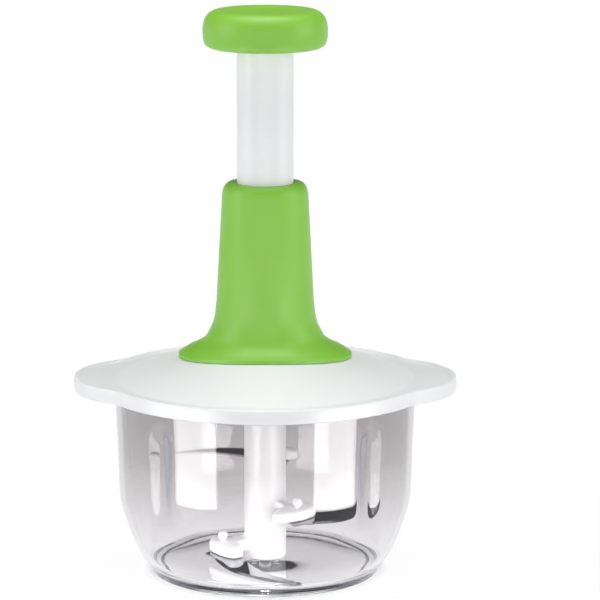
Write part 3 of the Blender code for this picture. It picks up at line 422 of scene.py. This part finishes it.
def rounded(points, steps=4):
    """Line through points of radius, height and rounding; each corner becomes a small curve."""
    line = []
    for index, (radius, height, rounding) in enumerate(points):
        corner = Vector((radius, height))
        if rounding == 0 or index in (0, len(points) - 1):
            line.append(corner)
            continue
        before = Vector(points[index - 1][:2]) - corner
        after = Vector(points[index + 1][:2]) - corner
        reach = min(rounding, corner_share * before.length, corner_share * after.length)
        start = corner + before.normalized() * reach
        end = corner + after.normalized() * reach
        for step in range(steps + 1):
            share = step / steps
            line.append(start * (1 - share) ** 2 + corner * 2 * share * (1 - share)
                        + end * share ** 2)
    return line


def smooth_line(points, steps=6):
    """Curve through all the points."""
    path = [Vector(point) for point in points]
    path = [2 * path[0] - path[1], *path, 2 * path[-1] - path[-2]]
    line = []
    for a, b, c, d in zip(path, path[1:], path[2:], path[3:]):
        for step in range(steps):
            t = step / steps
            line.append(0.5 * (2 * b + (c - a) * t + (2 * a - 5 * b + 4 * c - d) * t ** 2
                               + (3 * b - a - 3 * c + d) * t ** 3))
    return line + [path[-2]]


def offset_line(line, distance):
    """Line moved to its left by a distance, seen along it."""
    moved = []
    for index, point in enumerate(line):
        along = (line[min(index + 1, len(line) - 1)] - line[max(index - 1, 0)]).normalized()
        moved.append(point + Vector((-along.y, along.x)) * distance)
    return moved


print("a rounded corner has", len(rounded([(0, 0, 0), (1, 0, 0.1), (1, 1, 0)])) - 2, "points")

# %% Spin a line
def draw_line(name, points):
    """Object with one line of vertices, extruded from point to point."""
    bpy.ops.object.select_all(action="DESELECT")
    bpy.ops.mesh.primitive_plane_add(size=0.001)
    piece = bpy.context.object
    piece.name = name
    piece.data.name = name
    bpy.ops.object.mode_set(mode="EDIT")
    bpy.ops.mesh.select_all(action="SELECT")
    bpy.ops.mesh.merge(type="CENTER")
    bpy.ops.transform.translate(value=points[0])
    for here, there in zip(points, points[1:]):
        bpy.ops.mesh.extrude_vertices_move(TRANSFORM_OT_translate={"value": there - here})
    bpy.ops.mesh.select_all(action="SELECT")
    bpy.ops.mesh.remove_doubles(threshold=0.0000005)
    bpy.ops.object.mode_set(mode="OBJECT")
    return piece


def turn(name, line, sides=128):
    """Turned piece; its line comes back to its start, or begins and ends on the axis."""
    piece = draw_line(name, [Vector((point.x, 0, point.y)) for point in line])
    bpy.ops.object.mode_set(mode="EDIT")
    bpy.ops.mesh.select_all(action="SELECT")
    bpy.ops.mesh.spin(steps=sides, angle=2 * math.pi, center=(0, 0, 0), axis=(0, 0, 1),
                      use_auto_merge=True)
    bpy.ops.mesh.select_all(action="SELECT")
    bpy.ops.mesh.remove_doubles(threshold=0.000001)
    bpy.ops.mesh.normals_make_consistent(inside=False)
    bpy.ops.object.mode_set(mode="OBJECT")
    return piece


def complete(piece, material, slot, body, *nodes, angle=35):
    """Shades a piece, gives it its finish, and puts it on its body in place of its CAD nodes."""
    bpy.ops.object.select_all(action="DESELECT")
    piece.select_set(True)
    bpy.context.view_layer.objects.active = piece
    bpy.ops.object.shade_smooth_by_angle(angle=math.radians(angle))
    piece.data.materials.clear()
    piece.data.materials.append(material)
    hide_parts(*nodes)
    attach(piece, body)
    print("%s: %d faces, %.1f x %.1f x %.1f mm"
          % (piece.name, len(piece.data.polygons), *[1000 * side for side in piece.dimensions]))


def apply_modifiers(piece):
    """Applies all modifiers of a piece, in order."""
    bpy.context.view_layer.objects.active = piece
    for modifier in list(piece.modifiers):
        bpy.ops.object.modifier_apply(modifier=modifier.name)


print("the lathe is ready")

# %% [markdown]
# ## Bowl
#
# The bowl is one clear moulding: a foot ring, a belly that rises steeply to the rim, and
# four soft ribs on the inside that stop the food from spinning with the blades. The wall has
# one thickness all the way up, so its inside is the outside line moved inwards. Only the
# floor is thicker. The ribs could be joined on as solids. In clear plastic every hidden face
# shows, so the inside wall itself is pushed inwards instead.

# %% Turn the bowl
bowl_radius = 0.0635
bowl_height = 0.0790
bowl_wall = 0.0022
foot_radius = 0.0474
floor_bottom = 0.0012
floor_top = 0.0044
boss_radius = 0.0060
boss_top = 0.0050
pin_hole = 0.0023
pin_floor = 0.0018
boss_bottom = 0.0006
foot_width = 0.0026
foot_slope = 0.0012
foot_flare = 0.0006
floor_joint = 3
bowl_side = ((0.772, 0.039), (0.824, 0.091), (0.866, 0.151), (0.919, 0.261),
             (0.961, 0.372), (0.975, 0.482), (0.983, 0.704), (1.000, 1.000))

outside = smooth_line([(share * bowl_radius, rise * bowl_height) for share, rise in bowl_side])
inside = offset_line(outside, bowl_wall)
foot = rounded([
    (0, boss_bottom, 0), (boss_radius, boss_bottom, 0.0003), (boss_radius, floor_bottom, 0.0003),
    (foot_radius - foot_width - foot_slope, floor_bottom, 0.0006),
    (foot_radius - foot_width, 0, 0.0005), (foot_radius, 0, 0.0005),
    (foot_radius + foot_flare, foot_flare, 0.0003), (*outside[0], 0),
])
rim = rounded([
    (*outside[-2], 0), (bowl_radius, bowl_height, 0.0008), (inside[-1].x, bowl_height, 0.0008),
    (*inside[-2], 0),
])
floor_line = rounded([
    (*inside[floor_joint], 0), (inside[floor_joint - 1].x - 0.0002, floor_top, 0.0012),
    (boss_radius, floor_top, 0.0003), (boss_radius, boss_top, 0.0005), (pin_hole, boss_top, 0.0002),
    (pin_hole, pin_floor, 0), (0, pin_floor, 0),
])
bowl_line = foot[:-1] + outside[:-1] + rim[1:-1]
bowl_line += list(reversed(inside[floor_joint:-1])) + floor_line[1:]
bowl = turn("bowl_clear", bowl_line, 256)
print("bowl line:", len(bowl_line), "points")

# %% Push in the ribs
rib_count = 4
rib_half_width = 0.0074
rib_depth = 0.0026
rib_top = 0.0718
wall_match = 0.0003
rib_levels = ((0.0150, 0.0), (0.0172, 0.10), (0.0244, 0.60), (0.0359, 1.0), (0.0617, 1.0),
              (0.0690, 0.55), (0.0722, 0.0))


def between(value, table):
    """Value of a table of pairs at a place, in a straight line from pair to pair; 0 outside it."""
    for (low, first), (high, second) in zip(table, table[1:]):
        if low <= value <= high:
            share = (value - low) / (high - low)
            return first + (second - first) * share
    return 0


wall_line = [(point.y, point.x) for point in inside]
rib_deepest = between(rib_top, wall_line) - rib_depth
for vertex in bowl.data.vertices:
    height = vertex.co.z
    radius = math.hypot(vertex.co.x, vertex.co.y)
    wall = between(height, wall_line)
    if wall == 0 or abs(radius - wall) > wall_match:
        continue
    angle = math.atan2(vertex.co.y, vertex.co.x)
    spacing = 2 * math.pi / rib_count
    across = radius * (angle % spacing - spacing / 2) / rib_half_width
    if abs(across) >= 1:
        continue
    depth = max(radius - rib_deepest, 0) * between(height, rib_levels)
    smaller = (radius - depth * (1 - across ** 2) ** 2) / radius
    vertex.co.x *= smaller
    vertex.co.y *= smaller
complete(bowl, clear_styrene, "clear_styrene", "base", "bowl")

# %% [markdown]
# ## Lid
#
# The lid is a low white dome with a raised lip round its edge and an ear at each side to
# lift it by. The dome and lip are turned. The ears could be cut from a wider disc, but the
# lip follows them round, so the turned edge is drawn out sideways after the spin: each
# point outside the dome moves out by how far the ear reaches at its angle.

# %% Turn the lid
valley = 0.0829
dome_radius = 0.0630
dome_rise = 0.0156
dome_fullness = 1.5
lid_plate = 0.0020
lid_radius = 0.0696
lid_seat = 0.0809
recess_radius = 0.0208
recess_floor = 0.08914
well_radius = 0.0130
well_bottom = 0.07414
well_wall = 0.0018
lip_width = 0.0030
lip_rise = 0.0011
skirt_bottom = 0.0779
hub_hole = 0.0093
locating_radius = 0.0607
locating_inner = 0.0591
locating_bottom = 0.0759
dome_steps = 22
# The lid's edge, from its lip to its seat: distance from its radius, height and rounding
lid_edge = ((0.0017, valley + lip_rise, 0.0009), (0.0002, valley + 0.0009, 0.0011),
            (0, valley - 0.0005, 0.0009), (0.0003, skirt_bottom, 0.0006),
            (0.0020, skirt_bottom, 0.0006), (0.0022, lid_seat, 0.0008))


def dome_height(radius):
    """Height of the lid's dome at a radius."""
    return valley + dome_rise * (1 - min(radius / dome_radius, 1) ** dome_fullness)


dome_span = dome_radius - recess_radius
dome = [recess_radius + dome_span * step / dome_steps for step in range(dome_steps + 1)]
under_span = recess_radius + lid_plate - locating_inner
under = [locating_inner + under_span * step / dome_steps for step in range(dome_steps + 1)]
lid_points = [
    (hub_hole, well_bottom, 0), (well_radius, well_bottom, 0.0008),
    (well_radius, recess_floor, 0.0006), (recess_radius, recess_floor, 0.0008),
    (recess_radius, dome_height(recess_radius), 0.0004),
]
lid_points += [(radius, dome_height(radius), 0) for radius in dome[1:-1]]
lid_points += [(dome_radius, valley, 0.0020), (lid_radius - lip_width, valley, 0.0016)]
lid_points += [(lid_radius - inset, height, rounding) for inset, height, rounding in lid_edge]
lid_points += [
    (locating_radius, lid_seat, 0.0006), (locating_radius, locating_bottom, 0.0005),
    (locating_inner, locating_bottom, 0.0005),
]
lid_points += [(radius, dome_height(radius) - lid_plate, 0) for radius in under]
lid_points += [
    (recess_radius + lid_plate, recess_floor - lid_plate, 0.0006),
    (well_radius + well_wall, recess_floor - lid_plate, 0.0008),
    (well_radius + well_wall, well_bottom - lid_plate, 0.0008),
    (hub_hole, well_bottom - lid_plate, 0), (hub_hole, well_bottom, 0),
]
lid = turn("lid_shell", rounded(lid_points), 192)
print("lid: %.1f mm to the top of its dome" % (1000 * lid.dimensions.z))

# %% Draw out the ears
ear_reach = 0.0111
ear_half_angle = math.radians(30)
ear_fullness = 2.4
ear_softness = 1.4
ear_start = dome_radius - 0.0004
ear_full = lid_radius - 0.0036


def ear(angle):
    """How far the lid's edge reaches out of round at an angle."""
    off_axis = abs(math.atan(math.tan(angle)))
    if off_axis >= ear_half_angle:
        return 0
    return ear_reach * (1 - (off_axis / ear_half_angle) ** ear_fullness) ** ear_softness


for vertex in lid.data.vertices:
    radius = math.hypot(vertex.co.x, vertex.co.y)
    share = min(max((radius - ear_start) / (ear_full - ear_start), 0), 1)
    larger = 1 + share * ear(math.atan2(vertex.co.y, vertex.co.x)) / radius
    vertex.co.x *= larger
    vertex.co.y *= larger
complete(lid, white_polypropylene, "white_polypropylene", "lid", "lid")

# %% [markdown]
# ## Seal
#
# A silicone ring between bowl and lid keeps the juice in. It shows as a thin line above the
# rim. A turned rectangle with round corners is all it needs.

# %% Turn the seal
seal_inner = 0.0610
seal_outer = 0.0639
seal_bottom = 0.0793
seal_top = 0.0806
seal_start = 0.0799
seal_corner = 0.0004

seal = turn("seal_ring", rounded([
    (seal_inner, seal_start, 0), (seal_inner, seal_bottom, seal_corner),
    (seal_outer, seal_bottom, seal_corner), (seal_outer, seal_top, seal_corner),
    (seal_inner, seal_top, seal_corner), (seal_inner, seal_start, 0),
]), 128)
complete(seal, white_silicone, "white_silicone", "lid", "lid_gasket")

# %% [markdown]
# ## Column
#
# The green column guides the tube. It is round and slightly tapered, and flares at its foot
# into an oval that is wider than it is deep and lies on the dome all round. A lathe can't
# make an oval. But the flare can be turned round first, and then pressed flat from front and
# back below the neck, with its foot moved down onto the dome. The wall comes last, with the
# Solidify modifier, so that it is even.

# %% Turn the column
neck_radius = 0.0204
base_radius = 0.0364
base_height = 0.09195
flare_height = 0.0245
flare_top = base_height + flare_height
column_top = 0.16604
column_hole = 0.01225
column_wall = 0.0022
base_edge = 0.0011
flare = ((1.000, 0.065), (0.930, 0.095), (0.790, 0.150), (0.600, 0.205), (0.425, 0.270),
         (0.300, 0.340), (0.225, 0.420), (0.118, 0.560), (0.052, 0.715), (0.000, 1.000))
# The column's upper edge: radius, distance below the top and rounding
column_edge = ((0.0180, 0.0044, 0.0020), (0.01747, 0.0023, 0.0010), (0.0166, 0.0009, 0.0008),
               (0.01536, 0, 0.0010), (column_hole, 0, 0))

flare_line = [Vector((base_radius, base_height)), Vector((base_radius, base_height + base_edge))]
flare_line += smooth_line([
    (neck_radius + out * (base_radius - neck_radius), base_height + rise * flare_height)
    for out, rise in flare
], 5)
top_line = rounded([(neck_radius, flare_top, 0)] + [
    (radius, column_top - drop, rounding) for radius, drop, rounding in column_edge
])
column = turn("column_shell", flare_line[:-1] + top_line, 160)
print("column: %.1f mm high" % (1000 * column.dimensions.z))

# %% Press the flare oval and lay it on the dome
depth_share = 0.472
dome_gap = 0.0003


def pressed(radius, angle):
    """Place of a point of the column at a radius and an angle."""
    depth = radius if radius <= neck_radius else neck_radius + (radius - neck_radius) * depth_share
    return radius * math.cos(angle), depth * math.sin(angle)


for vertex in column.data.vertices:
    radius = math.hypot(vertex.co.x, vertex.co.y)
    angle = math.atan2(vertex.co.y, vertex.co.x)
    foot_height = dome_height(math.hypot(*pressed(base_radius, angle))) + dome_gap
    if vertex.co.z < flare_top:
        share = (vertex.co.z - base_height) / flare_height
        vertex.co.z = foot_height + share * (flare_top - foot_height)
    vertex.co.x, vertex.co.y = pressed(radius, angle)
wall = column.modifiers.new("wall", "SOLIDIFY")
wall.thickness = column_wall
wall.offset = -1
apply_modifiers(column)
complete(column, green_abs, "green_abs", "lid", "column")

# %% [markdown]
# ## Tube
#
# The milky tube slides in the column and is clamped in the knob. It is a turned tube with a
# flange at its lower end, which stops it from being pulled out, and a collar in the knob.

# %% Turn the tube
tube_radius = 0.01185
tube_bore = 0.0102
tube_bottom = 0.14744
tube_start = tube_bottom + 0.0010
tube_top = 0.22754
flange_radius = 0.0136
flange_height = 0.0023
collar_radius = 0.0139
collar_height = 0.0016

tube = turn("tube_milky", rounded([
    (tube_bore, tube_start, 0), (tube_bore, tube_bottom, 0.0003),
    (flange_radius, tube_bottom, 0.0004), (flange_radius, tube_bottom + flange_height, 0.0005),
    (tube_radius, tube_bottom + flange_height, 0.0004), (tube_radius, tube_top - collar_height, 0),
    (collar_radius, tube_top - collar_height, 0.0003), (collar_radius, tube_top, 0.0003),
    (tube_bore, tube_top, 0.0003), (tube_bore, tube_start, 0),
]), 96)
complete(tube, milky_tube, "milky_tube", "plunger", "plunger_tube")

# %% [markdown]
# ## Knob
#
# The knob is a thick green button with full round sides and a shallow dish for the palm.
# Its side is a curve through a few measured points. It could be a squashed ball, but the
# dish and the flat lower edge are easier to hold to size with a turned line. Underneath it
# is hollow, with a boss in the middle that holds the rod.

# %% Turn the knob
knob_radius = 0.0260
knob_bottom = 0.22234
knob_height = 0.0157
knob_inside = 0.0211
knob_start = knob_bottom + 0.0030
knob_roof = 0.2338
roof_radius = 0.0212
hollow_radius = 0.0236
hollow_top = 0.2314
hollow_bottom = 0.2266
rod_hole = 0.0027
rod_hole_top = 0.2321
rod_boss = 0.0089
rod_boss_bottom = 0.21404
tube_ring = (0.0125, 0.0139)
tube_ring_bottom = 0.2279
knob_side = ((0.888, 0.010), (0.962, 0.096), (0.992, 0.250), (1.000, 0.465), (0.990, 0.640),
             (0.962, 0.780), (0.905, 0.905), (0.835, 0.975), (0.765, 1.000), (0.690, 0.978),
             (0.520, 0.925), (0.260, 0.892), (0.000, 0.885))

knob_line = [Vector((knob_inside, knob_start)), Vector((knob_inside, knob_bottom + 0.0004)),
             Vector((0.0215, knob_bottom)), Vector((0.0225, knob_bottom))]
knob_line += smooth_line([
    (share * knob_radius, knob_bottom + rise * knob_height) for share, rise in knob_side
], 5)
knob_line += rounded([
    (0, rod_hole_top, 0), (rod_hole, rod_hole_top, 0), (rod_hole, rod_boss_bottom, 0.0002),
    (rod_boss, rod_boss_bottom, 0.0006), (rod_boss, knob_roof, 0.0006),
    (tube_ring[0], knob_roof, 0), (tube_ring[0], tube_ring_bottom, 0.0002),
    (tube_ring[1], tube_ring_bottom, 0.0002),
    (tube_ring[1], knob_roof, 0.0006), (roof_radius, knob_roof, 0.0012),
    (hollow_radius, hollow_top, 0.0012), (hollow_radius, hollow_bottom, 0.0008),
    (knob_inside, knob_start, 0),
])
knob = turn("knob_cap", knob_line, 128)
complete(knob, green_abs, "green_abs", "plunger", "knob")

# %% [markdown]
# ## Return spring
#
# The coil spring stands on the cover of the drive, inside the tube, and pushes the knob back
# up. It must close up when the knob is pressed. Here it keeps the shape it has: its mesh is
# copied from the imported part, its doubled points are merged, and it gets its finish on the
# lid and a mesh of its own.

bpy.ops.object.select_all(action="DESELECT")
coil = bpy.data.objects.new("coil_spring", frame["nodes"]["return_spring"].data.copy())
bpy.context.collection.objects.link(coil)
coil.select_set(True)
bpy.context.view_layer.objects.active = coil
bpy.ops.object.mode_set(mode="EDIT")
bpy.ops.mesh.select_all(action="SELECT")
bpy.ops.mesh.remove_doubles(threshold=0.000001)
bpy.ops.object.mode_set(mode="OBJECT")
complete(coil, plain_steel, "plain_steel", "lid", "return_spring", angle=80)
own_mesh(coil)

# %% [markdown]
# ## Where the blades sit
#
# The three blades stand a third of a turn apart, each at its own height, swept back from
# its arm and tilted a little. One frame per blade holds all of that: a matrix whose origin
# is the blade's peg and whose X axis points at its tip. Everything on an arm is modelled
# flat and then placed by its frame.

# %% Frames of the blades
blade_names = ("lower", "middle", "upper")
blade_heights = (0.0076, 0.0250, 0.0436)
blade_lengths = (0.0520, 0.0448, 0.0458)
blade_sweeps = (115, 91, 95)
blade_banks = (8, 15, -6)
blade_droops = (2.2, 0, 0)
first_arm = 193
arm_radius = 0.0178
blade_thickness = 0.0008


def blade_frame(number):
    """Frame of one blade, with its origin at the peg and X along the blade."""
    return (
        Matrix.Translation((0, 0, blade_heights[number]))
        @ Matrix.Rotation(math.radians(first_arm + 120 * number), 4, "Z")
        @ Matrix.Translation((arm_radius, 0, 0))
        @ Matrix.Rotation(math.radians(blade_sweeps[number]), 4, "Z")
        @ Matrix.Rotation(math.radians(blade_droops[number]), 4, "Y")
        @ Matrix.Rotation(math.radians(blade_banks[number]), 4, "X")
    )


for number, name in enumerate(blade_names):
    tip = blade_frame(number) @ Vector((blade_lengths[number], 0, 0))
    print("%s tip: %.0f, %.0f, %.0f mm" % (name, *[1000 * part for part in tip]))

# %% [markdown]
# ## Blades
#
# Each blade is stamped in a sickle shape and ground along its outer edge. It starts as a
# grid with one row of faces for the ground edge and two for the flat. Its columns are moved
# onto the sickle, and Solidify gives it its thickness. A vertex group tells Solidify to
# leave almost none at the outer edge, and that makes the ground bevel.

# %% Shape the blades
blade_width = 0.0120
blade_tang = 0.0055
blade_bow = 0.0055
blade_tip = 0.0007
taper_from = 0.25
taper_fullness = 2.2
ground_width = 0.0017
ground_most = 0.45
ground_from = 0.004
ground_thickness = 0.1
blade_rows = 3
blade_columns = 48


def blade_edges(along, length):
    """Outer and inner edge of a blade at a distance from its peg."""
    share = max(along / length, 0)
    bow = -blade_bow * 4 * share * (1 - share)
    taper = max(share - taper_from, 0) / (1 - taper_from)
    half = (blade_width / 2 - blade_tip) * (1 - taper ** taper_fullness) + blade_tip
    return bow - half, bow + half * (1 - share) + blade_tip * share


for number, name in enumerate(blade_names):
    length = blade_lengths[number]
    bpy.ops.object.select_all(action="DESELECT")
    bpy.ops.mesh.primitive_grid_add(x_subdivisions=blade_columns, y_subdivisions=blade_rows, size=2)
    blade = bpy.context.object
    blade.name = "steel_blade_" + name
    edge = blade.vertex_groups.new(name="thickness")
    for vertex in blade.data.vertices:
        along = -blade_tang + (vertex.co.x + 1) / 2 * (length + blade_tang)
        row = round((vertex.co.y + 1) * blade_rows / 2)
        outer, inner = blade_edges(along, length)
        ground = min(ground_width, ground_most * (inner - outer))
        across = (outer, outer + ground, (outer + ground + inner) / 2, inner)[row]
        vertex.co = (along, across, 0)
        thickness = ground_thickness if row == 0 and along > ground_from else 1.0
        edge.add([vertex.index], thickness, "REPLACE")
    sheet = blade.modifiers.new("sheet", "SOLIDIFY")
    sheet.thickness = blade_thickness
    sheet.offset = 0
    sheet.vertex_group = "thickness"
    apply_modifiers(blade)
    blade.data.transform(blade_frame(number))
    complete(blade, blade_steel, "blade_steel", "blades", "blade_" + name, angle=8)

# %% [markdown]
# ## Shaft and arms
#
# Shaft and arms are one white moulding. Each arm is a short neck that ends in a boat-shaped
# clamp over the root of its blade. Neck and stern differ from arm to arm. Joining them by
# hand would leave sharp creases, where a moulding has soft ones. So all of it is joined
# roughly, a voxel remesh turns it into one skin, and a smoothing softens the creases.

# %% Turn the shaft
shaft_radius = 0.0089
shaft_bottom = 0.0053
shaft_top = 0.06944
shaft_bore = 0.0056
shaft_start = shaft_bottom + 0.0040
socket_radius = 0.0068
socket_bottom = 0.0587

shaft = turn("shaft_moulding", rounded([
    (shaft_bore, shaft_start, 0), (shaft_bore, shaft_bottom, 0.0003),
    (shaft_radius, shaft_bottom, 0.0024), (shaft_radius, shaft_top, 0.0005),
    (socket_radius, shaft_top, 0.0003), (socket_radius, socket_bottom, 0),
    (shaft_bore, socket_bottom, 0), (shaft_bore, shaft_start, 0),
]), 96)
print("shaft: %.1f mm high" % (1000 * shaft.dimensions.z))

# %% Model an arm
clamp_backs = (0.0086, 0.0132, 0.0092)
neck_sizes = ((0.0080, 0.0044), (0.0052, 0.0030), (0.0062, 0.0040))
clamp_front = 0.0112
clamp_half_width = 0.0043
clamp_height = 0.0046
clamp_steps = 40
bow_fullness = 2.6
stern_fullness = 2.0
moulding_gap = 0.0003
neck_sink = 0.0022
neck_rounding = 0.0012
clamp_rise = ((1.00, 0.50), (0.975, 0.66), (0.92, 0.80), (0.82, 0.91), (0.66, 0.98))


def clamp_outline(back):
    """Boat-shaped outline: a full bow towards the tip, and a slimmer stern."""
    points = []
    for step in range(clamp_steps + 1):
        angle = 2 * math.pi * step / clamp_steps
        at_bow = math.cos(angle) > 0
        reach, fullness = (clamp_front, bow_fullness) if at_bow else (back, stern_fullness)
        x = reach * math.copysign(abs(math.cos(angle)) ** (2 / fullness), math.cos(angle))
        y = math.copysign(abs(math.sin(angle)) ** (2 / fullness), math.sin(angle))
        points.append(Vector((x, clamp_half_width * y, blade_thickness / 2 + moulding_gap)))
    return points


def make_arm(number):
    """Clamp and neck of one arm, at its place."""
    clamp = draw_line("clamp", clamp_outline(clamp_backs[number]))
    bpy.ops.object.mode_set(mode="EDIT")
    bpy.ops.mesh.select_all(action="SELECT")
    bpy.ops.mesh.edge_face_add()
    size, level = 1.0, 0.0
    middle = ((clamp_front - clamp_backs[number]) / 2, 0, 0)
    for new_size, new_level in clamp_rise:
        step = Vector((0, 0, (new_level - level) * clamp_height))
        bpy.ops.mesh.extrude_region_move(TRANSFORM_OT_translate={"value": step})
        bpy.ops.transform.resize(value=(new_size / size, new_size / size, 1),
                                 center_override=middle)
        size, level = new_size, new_level
    bpy.ops.mesh.select_all(action="SELECT")
    bpy.ops.mesh.normals_make_consistent(inside=False)
    bpy.ops.object.mode_set(mode="OBJECT")

    frame_of_blade = blade_frame(number)
    start = frame_of_blade.inverted() @ Vector((0, 0, blade_heights[number]))
    reach = math.hypot(start.x, start.y) - shaft_radius + neck_sink
    neck_width, neck_height = neck_sizes[number]
    bpy.ops.object.select_all(action="DESELECT")
    bpy.ops.mesh.primitive_cube_add(size=1)
    neck = bpy.context.object
    bpy.ops.object.mode_set(mode="EDIT")
    bpy.ops.mesh.select_all(action="SELECT")
    bpy.ops.transform.resize(value=(reach, neck_width, neck_height))
    neck_level = (blade_thickness + neck_height) / 2 + moulding_gap
    bpy.ops.transform.translate(value=(reach / 2, 0, neck_level))
    bpy.ops.mesh.bevel(offset=neck_rounding, segments=4, affect="EDGES")
    bpy.ops.object.mode_set(mode="OBJECT")
    neck.data.transform(Matrix.Rotation(math.atan2(start.y, start.x), 4, "Z"))
    for part in (clamp, neck):
        part.data.transform(frame_of_blade)
    return [clamp, neck]


arms = [part for number in range(len(blade_names)) for part in make_arm(number)]
print("arms:", len(arms) // 2)

# %% Join shaft and arms into one skin
voxel = 0.00036

bpy.ops.object.select_all(action="DESELECT")
for part in arms + [shaft]:
    part.select_set(True)
bpy.context.view_layer.objects.active = shaft
bpy.ops.object.join()
shaft.data.remesh_voxel_size = voxel
bpy.ops.object.voxel_remesh()
soften = shaft.modifiers.new("soften", "SMOOTH")
soften.factor = 0.5
soften.iterations = 12
apply_modifiers(shaft)
# The shaft wears the lighter copy of the white, which is painted light.
complete(shaft, white_polypropylene_painted_lighter, "white_polypropylene", "blades", "blade_shaft", angle=60)

# %% [markdown]
# ## Pegs
#
# A ball-headed peg rivets each blade under its clamp. One is turned, copied for the other
# two, and each copy gets a mesh of its own before its frame places it.

# %% Turn the pegs
peg_radius = 0.0011
peg_ball = 0.0021
peg_head = 0.0009
peg_seat = blade_thickness / 2 + moulding_gap + clamp_height + moulding_gap
neck_angle = math.asin(peg_radius / peg_ball)
ball_height = peg_seat + peg_ball * math.cos(neck_angle)
peg_under = -blade_thickness / 2 - moulding_gap

peg_line = rounded([
    (0, peg_under - peg_head, 0), (peg_ball, peg_under - peg_head, 0.0005),
    (peg_ball, peg_under, 0.0002), (peg_radius, peg_under, 0), (peg_radius, peg_seat, 0),
])
ball_steps = 14
for step in range(1, ball_steps + 1):
    angle = neck_angle + (math.pi - neck_angle) * step / ball_steps
    peg_line.append(Vector((peg_ball * math.sin(angle), ball_height - peg_ball * math.cos(angle))))
first_peg = turn("peg", peg_line, 32)
for number, name in enumerate(blade_names):
    peg = first_peg.copy()
    peg.data = first_peg.data.copy()
    peg.name = "peg_" + name
    bpy.context.collection.objects.link(peg)
    peg.data.transform(blade_frame(number))
    # The pegs wear the lighter copy of the white, which is painted light.
    complete(peg, white_polypropylene_painted_lighter, "white_polypropylene", "blades", "blade_peg_" + name)
bpy.data.objects.remove(first_peg)
